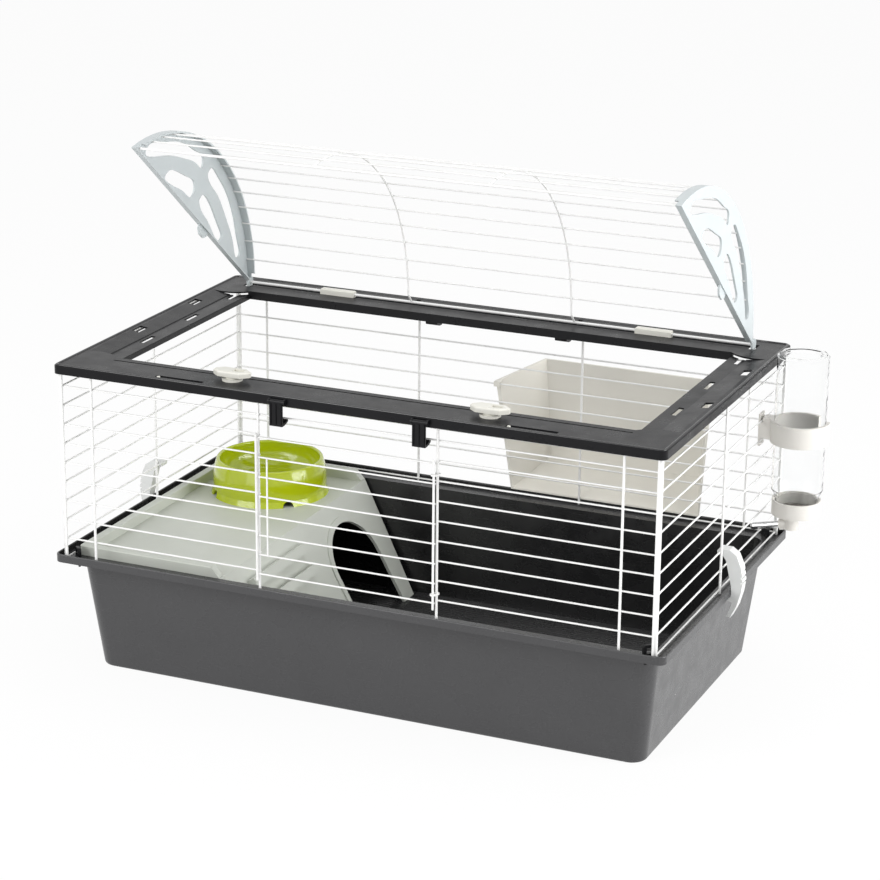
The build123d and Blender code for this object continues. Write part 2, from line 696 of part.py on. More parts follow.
def lid_heel(inset, n):
    """The point of the moved-in back arc at height n."""
    centre_n = LID_APEX_N - LID_BACK_RADIUS
    return (LID_APEX_S - sqrt((LID_BACK_RADIUS - inset) ** 2 - (n - centre_n) ** 2), n)


def lid_tip(inset, n):
    """The point of the moved-in front arc at height n."""
    centre_n = LID_APEX_N - LID_FRONT_RADIUS
    return (LID_APEX_S + sqrt((LID_FRONT_RADIUS - inset) ** 2 - (n - centre_n) ** 2), n)


def arc_middle(centre, start, end):
    """The middle point of the shorter arc about a centre."""
    radius = hypot(start[0] - centre[0], start[1] - centre[1])
    a = atan2(start[1] - centre[1], start[0] - centre[0])
    b = atan2(end[1] - centre[1], end[0] - centre[0])
    return (centre[0] + radius * cos((a + b) / 2), centre[1] + radius * sin((a + b) / 2))


def lid_arcs(inset, foot_n, tip_n):
    """The lid's curve from above the hinge to the tip, as (centre, start, end) of its two arcs."""
    apex = (LID_APEX_S, LID_APEX_N - inset)
    back_centre = (LID_APEX_S, LID_APEX_N - LID_BACK_RADIUS)
    front_centre = (LID_APEX_S, LID_APEX_N - LID_FRONT_RADIUS)
    return [
        (back_centre, lid_heel(inset, foot_n), apex),
        (front_centre, apex, lid_tip(inset, tip_n)),
    ]


def lid_curve(inset, foot_n, tip_n, x):
    """The same curve as edges in space, at one x."""
    edges = []
    for centre, start, end in lid_arcs(inset, foot_n, tip_n):
        middle = arc_middle(centre, start, end)
        edges.append(ThreePointArc(lid_place(*start, x), lid_place(*middle, x), lid_place(*end, x)))
    return edges


def lid_face(inset, x):
    """The half-moon of a lid end, moved in by inset, as a face at x."""
    low = inset - LID_EDGE_DROP
    edges = lid_curve(inset, low, low, x)
    edges.append(Line(lid_place(*lid_tip(inset, low), x), lid_place(*lid_heel(inset, low), x)))
    return make_face(edges)


LID_WINDOWS = (
    ((418, 8), (429, 8), (429, 17), (405, 38), (364, 62), (320, 79), (288, 85),
     (264, 86), (258, 73), (276, 69), (311, 60), (352, 44), (385, 26)),
    ((355, 7), (349, 20), (330, 30), (291, 40), (266, 42), (259, 33), (260, 22), (290, 15), (320, 8), (343, 4)),
    ((236, 76), (230, 87), (206, 87), (178, 83), (142, 72), (109, 54), (77, 32),
     (62, 17), (68, 10), (88, 19), (115, 35), (150, 49), (192, 62), (230, 68)),
    ((236, 31), (228, 41), (216, 42), (183, 34), (148, 22),
     (135, 14), (139, 5), (158, 4), (196, 14), (231, 22)),
)


def lid_rectangle(s0, s1, n0, n1, x):
    """A rectangle in the lid's own directions, as a face at x."""
    corners = [(s0, n0), (s1, n0), (s1, n1), (s0, n1)]
    return make_face(Polyline(*[lid_place(s, n, x) for s, n in corners], close=True))


def lid_window(points, x):
    """A cut-out of a lid end: a smooth closed outline through the points."""
    outline = Spline(*[lid_place(s, n, x) for s, n in points], periodic=True)
    return extrude(make_face(outline), amount=4 * LID_END_THICKNESS, dir=(1, 0, 0), both=True)


def make_lid_end(side):
    """A lid end: a pierced half-moon plate, its inward flange, the hinge eye and the tab."""
    inner_x = side * (LID_END_X - LID_END_THICKNESS / 2)
    inward = (-side, 0, 0)
    outward = (side, 0, 0)
    plate = extrude(lid_face(0.0, inner_x), amount=LID_END_THICKNESS, dir=outward)
    band = extrude(lid_face(0.0, inner_x), amount=LID_FLANGE, dir=inward)
    band = band - extrude(lid_face(LID_FLANGE_THICKNESS, inner_x), amount=LID_FLANGE, dir=inward)
    edge_x = inner_x - side * LID_EDGE_FLANGE
    flange_x = inner_x - side * (LID_FLANGE + 1)
    low_n = -LID_EDGE_DROP
    reach = LID_APEX_S + LID_FRONT_RADIUS
    cutter_face = lid_rectangle(-LID_EYE_CLEAR, reach, -LID_EYE_CLEAR, LID_HEEL_CLEAR, edge_x)
    band = band - extrude(cutter_face, amount=abs(flange_x - edge_x), dir=inward)
    hinge = lid_place(0, 0, 0)
    clear = LID_EYE_CLEAR
    clear_face = lid_rectangle(-clear, clear, -clear, LID_HEEL_CLEAR, inner_x)
    band = band - extrude(clear_face, amount=LID_FLANGE + 1, dir=inward)
    web_face = lid_rectangle(0, clear, low_n, LID_HEEL_CLEAR / 2, inner_x)
    plate = plate + extrude(web_face, amount=LID_END_THICKNESS, dir=outward)
    for points in LID_WINDOWS:
        plate = plate - lid_window(points, inner_x)
    low, high = sorted((inner_x, inner_x + side * LID_END_THICKNESS))
    eye = rod_x(LID_EYE_RADIUS, low, high, hinge[1], hinge[2])
    tab_x = side * LID_TAB_X
    wide = LID_TAB_LENGTH / 2
    narrow = LID_TAB_TIP / 2
    bend = low_n - LID_TAB_DEPTH / 2
    foot = low_n - LID_TAB_DEPTH
    tab_outline = [
        (LID_TAB_S - wide, low_n + 1), (LID_TAB_S + wide, low_n + 1), (LID_TAB_S + wide, bend),
        (LID_TAB_S + narrow, foot), (LID_TAB_S - narrow, foot), (LID_TAB_S - wide, bend),
    ]
    tab_face = make_face(Polyline(*[lid_place(s, n, tab_x) for s, n in tab_outline], close=True))
    tab = extrude(tab_face, amount=LID_TAB_THICKNESS / 2, dir=(1, 0, 0), both=True)
    return [plate + band + eye + tab]


def lid_path_points(inset, aimed_pitch, foot_n, tip_n):
    """Points at an even pitch along the lid's curve, between the heel and the tip."""
    arcs = lid_arcs(inset, foot_n, tip_n)
    spans = []
    for centre, start, end in arcs:
        radius = hypot(start[0] - centre[0], start[1] - centre[1])
        first = atan2(start[1] - centre[1], start[0] - centre[0])
        last = atan2(end[1] - centre[1], end[0] - centre[0])
        spans.append((centre, radius, first, last))
    lengths = [radius * abs(last - first) for centre, radius, first, last in spans]
    total = sum(lengths)
    count = round(total / aimed_pitch)
    points = []
    for i in range(1, count):
        distance = i * total / count
        past_apex = distance > lengths[0]
        centre, radius, first, last = spans[1] if past_apex else spans[0]
        part = (distance - lengths[0]) / lengths[1] if past_apex else distance / lengths[0]
        angle = first + part * (last - first)
        points.append((centre[0] + radius * cos(angle), centre[1] + radius * sin(angle)))
    return points


def make_lid_wires():
    """The lengthwise wires of the lid, each a separate wire under the ends' flanges."""
    inset = LID_FLANGE_THICKNESS + LID_WIRE / 2 + NEAR
    end = LID_END_X - LID_END_THICKNESS / 2 - END_GAP
    wires = []
    for s, n in lid_path_points(inset, LID_WIRE_PITCH, 0.0, 0.0):
        wires.append(wire(lid_place(s, n, -end), lid_place(s, n, end), LID_WIRE))
    return wires


def make_lid_front_wire():
    """The thicker wire along the lid's front edge."""
    inset = LID_FLANGE_THICKNESS + LID_FRONT_WIRE / 2 + NEAR
    end = LID_END_X - LID_END_THICKNESS / 2 - END_GAP
    s, n = lid_tip(inset, LID_FRONT_WIRE / 2 - LID_EDGE_DROP + LID_FLANGE_THICKNESS + NEAR)
    return [wire(lid_place(s, n, -end), lid_place(s, n, end), LID_FRONT_WIRE)]


def make_lid_hinge_wire():
    """The wire that the lid turns on."""
    end = LID_END_X - LID_END_THICKNESS / 2 - END_GAP
    return [wire(lid_place(0, 0, -end), lid_place(0, 0, end), HINGE_WIRE)]


def make_lid_arches():
    """Two bent wires under the lengthwise wires, each with a straight tail to the hinge wire."""
    inset = LID_FLANGE_THICKNESS + LID_WIRE + ARCH_WIRE / 2 + 2 * NEAR
    foot = lid_heel(inset, ARCH_WIRE)
    tail_end = (HINGE_WIRE / 2 + ARCH_WIRE / 2 + NEAR, 0)
    arches = []
    for x in (-ARCH_X, ARCH_X):
        path = Wire(lid_curve(inset, ARCH_WIRE, ARCH_WIRE, x))
        start = Plane(path @ 0, z_dir=path % 0)
        arch = sweep(start * Circle(ARCH_WIRE / 2), path=path)
        bend = Solid.make_sphere(ARCH_WIRE / 2, Plane(lid_place(*foot, x)))
        tail = wire(lid_place(*foot, x), lid_place(*tail_end, x), ARCH_WIRE)
        arches.append(arch + bend + tail)
    return arches


def make_hinge_retainer(side):
    """A block on the rear rail that the hinge wire turns in."""
    half = RETAINER_LENGTH / 2
    middle = side * RETAINER_X
    block = box(
        middle - half, middle + half, HINGE_Y - RETAINER_WIDTH / 2, HINGE_Y + RETAINER_WIDTH / 2,
        FRAME_TOP, RETAINER_TOP,
    )
    block = chamfer(block.faces().sort_by(Axis.Z)[-1].edges(), RETAINER_BEVEL)
    key_width = HINGE_GROOVE_WIDTH - 2 * END_GAP
    key = slot_block(
        middle, HINGE_Y, RETAINER_LENGTH, key_width, FRAME_TOP - HINGE_GROOVE_DEPTH, FRAME_TOP + 1
    )
    bore = rod_x(HINGE_WIRE / 2 + RUNNING_CLEARANCE, middle - half - 1, middle + half + 1, HINGE_Y, HINGE_Z)
    return [block + key - bore]


def make_latch_base(side):
    """The round base of a lid latch."""
    x = side * LATCH_X
    disc = rod_z(LATCH_BASE_RADIUS, FRAME_TOP, FRAME_TOP + LATCH_BASE_HEIGHT, x, LATCH_Y)
    collar = rod_z(LATCH_PIN_RADIUS + LATCH_COLLAR, FRAME_TOP, LATCH_NOSE_BOTTOM - END_GAP, x, LATCH_Y)
    bore = rod_z(LATCH_PIN_RADIUS + RUNNING_CLEARANCE, FRAME_TOP - 1, LATCH_NOSE_BOTTOM, x, LATCH_Y)
    return [disc.fuse(collar).cut(bore)]


def make_latch(side):
    """The turning nose of a lid latch: a long six-sided cap on its pin."""
    x = side * LATCH_X
    half = LATCH_NOSE_LENGTH / 2
    wide = LATCH_NOSE_WIDTH / 2
    tip = LATCH_NOSE_TIP / 2
    shoulder = half - wide + tip / 2
    outline = [(half, tip), (shoulder, wide), (-shoulder, wide), (-half, tip)]
    outline = outline + [(-u, -v) for u, v in outline]
    plan = make_face(Polyline(*[(x + u, LATCH_Y + v) for u, v in outline], close=True))
    nose = Pos(0, 0, LATCH_NOSE_BOTTOM) * extrude(plan, amount=LATCH_NOSE_HEIGHT, dir=(0, 0, 1))
    nose = fillet(nose.faces().sort_by(Axis.Z)[-1].edges(), LATCH_NOSE_ROUND)
    nose_top = LATCH_NOSE_BOTTOM + LATCH_NOSE_HEIGHT
    nose = nose - box(
        x + LATCH_SLOT_START, x + LATCH_SLOT_END, LATCH_Y - LATCH_SLOT_WIDTH / 2,
        LATCH_Y + LATCH_SLOT_WIDTH / 2, nose_top - LATCH_SLOT_DEPTH, nose_top + 1,
    )
    pin = rod_z(LATCH_PIN_RADIUS, FRAME_TOP + END_GAP, LATCH_NOSE_BOTTOM + 1, x, LATCH_Y)
    return [nose + pin]


def make_rail_clip(x, side, pivot_y, pivot_z):
    """A clip on trunnions: barrel, ribbed plate and a hook round the highest level wire."""
    half = CLIP_WIDTH / 2
    wire_y = side * (PANEL_Y - LEVEL_IN)
    wire_z = level_z(LEVEL_COUNT)
    throat = hypot(wire_y - pivot_y, wire_z - pivot_z) + LEVEL_RADIUS + CLIP_HOOK_CLEARANCE
    barrel = rod_x(CLIP_BARREL_RADIUS, x - half, x + half, pivot_y, pivot_z)
    trunnion = rod_x(
        CLIP_TRUNNION_RADIUS, x - half - CLIP_LUG, x + half + CLIP_LUG, pivot_y, pivot_z
    )
    outer_y = pivot_y + side * CLIP_BARREL_RADIUS
    inner_y = outer_y - side * CLIP_PLATE
    bottom = pivot_z - throat - CLIP_HOOK_THICKNESS + 1
    plate = box(
        x - half, x + half, min(outer_y, inner_y), max(outer_y, inner_y), bottom, pivot_z
    )
    hook_in = wire_y - side * CLIP_HOOK_PAST
    ring = rod_x(throat + CLIP_HOOK_THICKNESS, x - half, x + half, pivot_y, pivot_z)
    ring = ring.cut(rod_x(throat, x - half - 1, x + half + 1, pivot_y, pivot_z))
    window = box(
        x - half, x + half, min(hook_in, outer_y), max(hook_in, outer_y),
        pivot_z - 2 * throat, pivot_z - throat / 2,
    )
    hook = window & ring
    clip = plate + barrel + trunnion + hook
    rib_y = outer_y + side * CLIP_RIB_HEIGHT
    for offset in (-half + CLIP_RIB, 0.0, half - CLIP_RIB):
        clip = clip + box(
            x + offset - CLIP_RIB / 2, x + offset + CLIP_RIB / 2, min(outer_y, rib_y), max(outer_y, rib_y),
            bottom + CLIP_RIB, pivot_z - CLIP_RIB,
        )
    return [clip]


def make_side_clip(side):
    """A claw that turns on a side wall's wire and grips under the tray's rim."""
    pivot_x = PANEL_X - LEVEL_IN
    pivot_z = level_z(SIDE_CLIP_LEVEL)
    rim_x = RIM_LENGTH / 2
    rim_low = FLANGE_BOTTOM
    y0 = SIDE_CLIP_Y - SIDE_CLIP_WIDTH / 2
    y1 = SIDE_CLIP_Y + SIDE_CLIP_WIDTH / 2
    swing = hypot(rim_x - pivot_x, rim_low - pivot_z) + SIDE_CLIP_REACH
    tongue_x = rim_x - SIDE_CLIP_TONGUE
    tongue_z = pivot_z - sqrt(swing ** 2 - (tongue_x - pivot_x) ** 2)
    root_x = rim_x + SIDE_CLIP_RIM_GAP
    root_z = pivot_z - sqrt(swing ** 2 - (root_x - pivot_x) ** 2)
    inside = [
        (pivot_x + 2, pivot_z - 3), (pivot_x + 9, pivot_z - 12), (root_x, RIM_TOP + 4),
        (root_x, root_z), (tongue_x, tongue_z), (tongue_x, tongue_z - 5), (root_x + 2, root_z - 9),
        (root_x - 5, rim_low - 31),
    ]
    outside = [
        (root_x, rim_low - 33), (root_x + 9, rim_low - 14), (root_x + 15, rim_low + 8),
        (root_x + 17, RIM_TOP + 14), (root_x + 14, RIM_TOP + 34), (root_x + 6, pivot_z - 3), (pivot_x + 14, pivot_z + 4.4),
        (pivot_x, pivot_z + SIDE_CLIP_EYE),
    ]
    claw = prism_y([(side * x, z) for x, z in inside + outside], y0, y1)
    eye = rod_y(SIDE_CLIP_EYE, y0, y1, side * pivot_x, pivot_z)
    bore = rod_y(LEVEL_RADIUS + RUNNING_CLEARANCE, y0 - 1, y1 + 1, side * pivot_x, pivot_z)
    clip = claw + eye - bore
    groove_in = side * (root_x + SIDE_CLIP_THICKNESS)
    groove_x0, groove_x1 = sorted((groove_in, groove_in + side * SIDE_CLIP_THICKNESS))
    for i in range(SIDE_CLIP_GROOVES):
        z = RIM_TOP + SIDE_CLIP_GROOVE_START + SIDE_CLIP_GROOVE_PITCH * i
        clip = clip - box(groove_x0, groove_x1, y0 - 1, y1 + 1, z, z + SIDE_CLIP_GROOVE)
    return [clip]


def ramp_point(distance, out=0.0):
    """A point of the ramp's top face in (x, z), so far down from the fold and so far out of it."""
    drop = HOUSE_FLOOR_TOP - TRAY_FLOOR
    length = hypot(RAMP_RUN, drop)
    ux, uz = RAMP_RUN / length, -drop / length
    nx, nz = drop / length, RAMP_RUN / length
    return (HOUSE_FOLD_X + ux * distance + nx * out, HOUSE_FLOOR_TOP + uz * distance + nz * out)


def ramp_length():
    """The ramp's length down its slope."""
    return hypot(RAMP_RUN, HOUSE_FLOOR_TOP - TRAY_FLOOR)


def ramp_plane(out=0.0):
    """The ramp's top face as a plane: local X runs down the slope, local Y to the back."""
    x, z = ramp_point(0, out)
    x1, z1 = ramp_point(1, out)
    return Plane((x, 0, z), x_dir=(x1 - x, 0, z1 - z), z_dir=(-(z1 - z), 0, x1 - x))


def make_house_platform():
    """The raised floor, with a hollow lip on three sides that hangs on the tray's flange."""
    left, right = HOUSE_LEFT, HOUSE_FOLD_X
    front, rear = HOUSE_FRONT, HOUSE_REAR
    w = HOUSE_LIP_WIDTH
    plate_bottom = HOUSE_FLOOR_TOP - HOUSE_PLATE
    inner_left = -(RIM_LENGTH / 2 - END_OVERHANG - TRAY_WALL) + HOUSE_SIDE_GAP
    floor = box(inner_left, right, front, rear, plate_bottom, HOUSE_FLOOR_TOP)
    lip = box(left, right, front, rear, FLANGE_TOP, HOUSE_LIP_TOP)
    lip = lip - box(left + w, right + 1, front + w, rear - w, FLANGE_TOP - 1, HOUSE_LIP_TOP + 1)
    lip = fillet(lip.edges().filter_by(Axis.Z).sort_by(Axis.X)[:4], HOUSE_LIP_CORNER)
    lip = chamfer(lip.faces().sort_by(Axis.Z)[-1].outer_wire().edges(), HOUSE_LIP_BEVEL)
    slope = [
        (right - HOUSE_LIP_SLOPE, HOUSE_LIP_TOP + 1), (right - HOUSE_LIP_SLOPE, HOUSE_LIP_TOP),
        (right, HOUSE_FLOOR_TOP), (right + 1, HOUSE_FLOOR_TOP), (right + 1, HOUSE_LIP_TOP + 1),
    ]
    lip = lip - prism_y(slope, front - 1, rear + 1)
    corner = HOUSE_CORNER
    floor = fillet(floor.edges().filter_by(Axis.Z).sort_by(Axis.X)[:2], corner)
    seat = box(inner_left, left + w, front + corner, rear - corner, plate_bottom, FLANGE_TOP + 1)
    low_lip = box(inner_left + corner, right, front, rear, plate_bottom, FLANGE_TOP + 1)
    low_lip = low_lip - box(inner_left, right + 1, front + w, rear - w, plate_bottom - 1, FLANGE_TOP + 2)
    return [lip + floor + seat + low_lip]


def make_house_ramp():
    """The sloping face with its arched doorway, raised rim and two treads."""
    length = ramp_length()
    face = ramp_plane()
    outline = Polyline(
        (0, HOUSE_FRONT), (length, RAMP_FOOT_FRONT), (length, RAMP_FOOT_REAR), (0, HOUSE_REAR), close=True
    )
    sheet = extrude(face * make_face(outline), amount=-HOUSE_PLATE)
    door_centre = HOUSE_DOOR_TOP + HOUSE_DOOR_HALF

    def arch(half):
        straight = length + 20 - door_centre
        shape = Pos(door_centre, HOUSE_DOOR_Y) * Circle(half)
        return shape + Pos(door_centre + straight / 2, HOUSE_DOOR_Y) * Rectangle(straight, 2 * half)

    rim_plan = arch(HOUSE_DOOR_HALF + HOUSE_DOOR_RIM) - arch(HOUSE_DOOR_HALF)
    rim_plan = rim_plan & make_face(outline)
    rim = extrude(face * rim_plan, amount=HOUSE_PLATE)
    sheet = sheet - extrude(face * arch(HOUSE_DOOR_HALF), amount=2 * HOUSE_PLATE, both=True)
    ramp = sheet + rim
    for place in TREAD_PLACES:
        tread_plan = Pos(place + TREAD_HEIGHT / 2, (TREAD_FRONT + TREAD_REAR) / 2) * Rectangle(
            TREAD_HEIGHT, TREAD_REAR - TREAD_FRONT
        )
        ramp = ramp + extrude(face * tread_plan, amount=TREAD_DEPTH)
    reach = ramp_length() + RAMP_RUN
    below = box(HOUSE_FOLD_X, HOUSE_FOLD_X + reach, HOUSE_FRONT - 1, HOUSE_REAR + 1, -reach, TRAY_FLOOR)
    left_of = box(HOUSE_FOLD_X - reach, HOUSE_FOLD_X, HOUSE_FRONT - 1, HOUSE_REAR + 1, -reach, reach * 2)
    return [ramp - below - left_of]


def make_bowl():
    """A turned bowl on a flared hollow skirt, with arched notches in its foot."""
    foot = HOUSE_FLOOR_TOP
    top = foot + BOWL_HEIGHT
    w = BOWL_WALL
    rim = BOWL_RIM_RADIUS
    well = foot + BOWL_FLOOR
    well_radius = BOWL_WELL_RADIUS
    belly = foot + BOWL_HEIGHT / 2
    under_belly = belly - 2 * w
    skirt_top = belly + 2 * w
    profile = [
        Line((BOWL_FOOT_RADIUS, 0, foot), (BOWL_SKIRT_RADIUS, 0, foot + BOWL_SKIRT_RISE)),
        ThreePointArc(
            (BOWL_SKIRT_RADIUS, 0, foot + BOWL_SKIRT_RISE), (BOWL_BELLY_RADIUS, 0, belly), (rim, 0, top - w)
        ),
        ThreePointArc((rim, 0, top - w), (rim - w, 0, top), (rim - 2 * w, 0, top - w)),
        ThreePointArc(
            (rim - 2 * w, 0, top - w), (rim - 3 * w, 0, belly), (well_radius, 0, well)
        ),
        Line((well_radius, 0, well), (0, 0, well)),
        Line((0, 0, well), (0, 0, well - w)),
        Line((0, 0, well - w), (well_radius, 0, well - w)),
        ThreePointArc(
            (well_radius, 0, well - w), (rim - 2.5 * w, 0, under_belly), (rim - 1.5 * w, 0, skirt_top)
        ),
        Line((rim - 1.5 * w, 0, skirt_top), (BOWL_SKIRT_RADIUS - w, 0, foot + BOWL_SKIRT_RISE)),
        Line((BOWL_SKIRT_RADIUS - w, 0, foot + BOWL_SKIRT_RISE), (BOWL_FOOT_RADIUS - w, 0, foot)),
        Line((BOWL_FOOT_RADIUS - w, 0, foot), (BOWL_FOOT_RADIUS, 0, foot)),
    ]
    bowl = revolve(make_face(profile), Axis.Z)
    for i in range(BOWL_NOTCH_COUNT):
        notch = Solid.make_cylinder(
            BOWL_NOTCH_RADIUS, 2 * BOWL_FOOT_RADIUS, Plane((0, 0, foot), z_dir=(1, 0, 0))
        )
        bowl = bowl - Rot(0, 0, 45 + i * 360 / BOWL_NOTCH_COUNT) * notch
    return [Pos(BOWL_X, BOWL_Y, 0) * bowl]


def make_hay_rack():
    """A tapered bin, open to the wires and at the top, with two hooks over a level wire."""
    front_y = PANEL_Y + UPRIGHT_OUT + UPRIGHT_RADIUS + SEAT_GAP
    rear_y = front_y + RACK_DEPTH
    w = RACK_WALL
    wire_top = level_z(RACK_LEVEL) + LEVEL_RADIUS
    hook_bottom = wire_top + SEAT_GAP
    top = hook_bottom + w

    def section(y, left, right, bottom, rise, inset_left, inset_right):
        return make_face(
            Polyline(
                (left, y, rise), (left + inset_left, y, bottom), (right - inset_right, y, bottom),
                (right, y, rise), close=True,
            )
        )

    outer = loft(
        [
            section(front_y, RACK_LEFT, RACK_RIGHT, RACK_BOTTOM, top,
                    RACK_BOTTOM_INSET_LEFT, RACK_BOTTOM_INSET_RIGHT),
            section(rear_y, RACK_REAR_LEFT, RACK_REAR_RIGHT, RACK_REAR_BOTTOM, RACK_REAR_TOP,
                    RACK_REAR_INSET, RACK_REAR_INSET),
        ],
        ruled=True,
    )
    slope_left = (RACK_REAR_LEFT - RACK_LEFT) / RACK_DEPTH
    inner = loft(
        [
            section(front_y, RACK_LEFT + w, RACK_RIGHT - w, RACK_BOTTOM + w, top + RACK_MOUTH,
                    RACK_BOTTOM_INSET_LEFT, RACK_BOTTOM_INSET_RIGHT),
            section(rear_y - w, RACK_REAR_LEFT + w - slope_left * w, RACK_REAR_RIGHT - w, RACK_REAR_BOTTOM + w,
                    RACK_REAR_TOP + RACK_MOUTH, RACK_REAR_INSET, RACK_REAR_INSET),
        ],
        ruled=True,
    )
    rack = outer - inner
    hook_in = PANEL_Y - LEVEL_IN - LEVEL_RADIUS - SEAT_GAP
    for side in (0, 1):
        x0 = RACK_LEFT if side == 0 else RACK_RIGHT - RACK_HOOK_WIDTH
        arm = box(x0, x0 + RACK_HOOK_WIDTH, hook_in - w, front_y + w, hook_bottom, top)
        lip = box(x0, x0 + RACK_HOOK_WIDTH, hook_in - w, hook_in, top - RACK_HOOK_LIP, top)
        rack = rack + arm + lip
    return [rack]


def bottle_profile_face():
    """Half the section of the bottle, upside down on its neck."""
    neck_bottom = CAP_BOTTOM + CAP_FLOOR + SEAL_THICKNESS
    r = BOTTLE_RADIUS
    n = BOTTLE_NECK_RADIUS
    w = BOTTLE_WALL
    dish = BOTTLE_DISH
    cap_clear = CAP_TOP + BOTTLE_NECK_RISE
    outer = [
        (n, neck_bottom), (n, cap_clear), (r, BOTTLE_SHOULDER), (r, BOTTLE_TOP - dish),
        (r - dish, BOTTLE_TOP), (r - 3 * dish, BOTTLE_TOP), (r - 4 * dish, BOTTLE_TOP - dish),
        (0, BOTTLE_TOP - dish),
    ]
    inner = [
        (0, BOTTLE_TOP - dish - w), (r - 4 * dish - w, BOTTLE_TOP - dish - w),
        (r - 3 * dish - w, BOTTLE_TOP - w), (r - dish - w, BOTTLE_TOP - w),
        (r - w, BOTTLE_TOP - dish - w), (r - w, BOTTLE_SHOULDER + w / 2),
        (n - w, cap_clear + w / 2), (n - w, neck_bottom),
    ]
    return make_face(Polyline(*[(x, 0, z) for x, z in outer + inner], close=True))


def make_bottle():
    """The clear bottle."""
    return [Pos(DRINKER_X, DRINKER_Y, 0) * revolve(bottle_profile_face(), Axis.Z)]


def spout_axis():
    """The spout's start, tip and direction in space."""
    start = Vector(SPOUT_START_X, DRINKER_Y, SPOUT_START_Z)
    tip = Vector(SPOUT_TIP_X, DRINKER_Y, SPOUT_TIP_Z)
    return start, tip, (tip - start).normalized()


def make_drinker_cap():
    """The screw cap with its grip ribs and the slanting socket for the spout."""
    cup = rod_z(CAP_RADIUS, CAP_BOTTOM, CAP_TOP, 0, 0)
    hollow = rod_z(CAP_RADIUS - CAP_WALL, CAP_BOTTOM + CAP_FLOOR, CAP_TOP + 1, 0, 0)
    collar = rod_z(CAP_RADIUS - CAP_WALL / 2, CAP_BOTTOM + CAP_FLOOR, CAP_TOP - 2, 0, 0)
    thread_bore = rod_z(BOTTLE_NECK_RADIUS + SEAT_GAP, CAP_BOTTOM + CAP_FLOOR, CAP_TOP, 0, 0)
    cap = Part() + cup - hollow + collar - thread_bore
    cap = Pos(DRINKER_X, DRINKER_Y, 0) * cap
    start, tip, direction = spout_axis()
    back = start - direction * SOCKET_BACK
    socket = Solid.make_cylinder(SPOUT_RADIUS + SOCKET_WALL, SOCKET_LENGTH, Plane(back, z_dir=direction))
    hub_bottom = SPOUT_START_Z - SPOUT_RADIUS - SOCKET_WALL
    hub = rod_z(HUB_RADIUS, hub_bottom, CAP_BOTTOM + 1, SPOUT_START_X, DRINKER_Y)
    cap = cap + socket + hub
    bore = Solid.make_cylinder(SPOUT_RADIUS + NEAR, SOCKET_LENGTH, Plane(start, z_dir=direction))
    well = rod_z(SPOUT_BORE, SPOUT_START_Z - 1, CAP_BOTTOM + CAP_FLOOR + 1, SPOUT_START_X + 1, DRINKER_Y)
    return [cap - bore - well]


def make_bottle_seal():
    """The flat rubber ring between the bottle's neck and the cap."""
    low = CAP_BOTTOM + CAP_FLOOR
    ring = rod_z(BOTTLE_NECK_RADIUS, low, low + SEAL_THICKNESS, DRINKER_X, DRINKER_Y)
    hole = rod_z(BOTTLE_NECK_RADIUS - SEAL_WIDTH, low - 1, low + SEAL_THICKNESS + 1, DRINKER_X, DRINKER_Y)
    return [ring.cut(hole)]


def make_spout_tube():
    """The metal tube that reaches through the wires, drawn in at its mouth."""
    start, tip, direction = spout_axis()
    length = (tip - start).length
    neck = length - SPOUT_NECK
    profile = [
        (SPOUT_BORE, 0), (SPOUT_RADIUS, 0), (SPOUT_RADIUS, neck), (SPOUT_RADIUS - SPOUT_CRIMP, length),
        (SPOUT_MOUTH, length), (SPOUT_MOUTH, length - 1), (SPOUT_BORE, neck),
    ]
    face = make_face(Polyline(*[(r, 0, z) for r, z in profile], close=True))
    tube = revolve(face, Axis.Z)
    return [Plane(start, z_dir=direction) * tube]


def ball_centre():
    """The ball's place, resting in the spout's mouth."""
    start, tip, direction = spout_axis()
    taper = (SPOUT_BORE - SPOUT_MOUTH) / (SPOUT_NECK - 1)
    half_angle = atan2(SPOUT_BORE - SPOUT_MOUTH, SPOUT_NECK - 1)
    reach = (BALL_RADIUS + BALL_REST) / cos(half_angle)
    from_mouth = 1 + (reach - SPOUT_MOUTH) / taper
    return tip - direction * from_mouth


def make_spout_ball():
    """The steel ball that closes the spout."""
    centre = ball_centre()
    return [Pos(centre.X, centre.Y, centre.Z) * Sphere(BALL_RADIUS)]


def make_bottle_ring():
    """The open ring round the bottle, on a back plate against the side wall's wires."""
    inner = BOTTLE_RADIUS + RING_INNER_CLEARANCE
    outer = inner + RING_WALL
    height = RING_TOP - RING_BOTTOM
    reach = outer * 2
    a = radians(RING_GAP_DIRECTION - RING_GAP_ANGLE / 2)
    b = radians(RING_GAP_DIRECTION + RING_GAP_ANGLE / 2)
    gap = make_face(
        Polyline((0, 0), (reach * cos(a), reach * sin(a)), (reach * cos(b), reach * sin(b)), close=True)
    )
    plan = Circle(outer) - Circle(inner) - gap
    ring = Pos(DRINKER_X, DRINKER_Y, RING_BOTTOM) * extrude(plan, amount=height, dir=(0, 0, 1))
    wall_x = PANEL_X - LEVEL_IN + LEVEL_RADIUS + SEAT_GAP
    half = HOOK_PLATE_WIDTH / 2
    arm = box(
        wall_x, DRINKER_X - inner - RING_WALL / 2, DRINKER_Y - half, DRINKER_Y + half, RING_BOTTOM, RING_TOP
    )
    bore = rod_z(inner, RING_BOTTOM - 1, RING_TOP + 1, DRINKER_X, DRINKER_Y)
    return [ring + arm - bore]


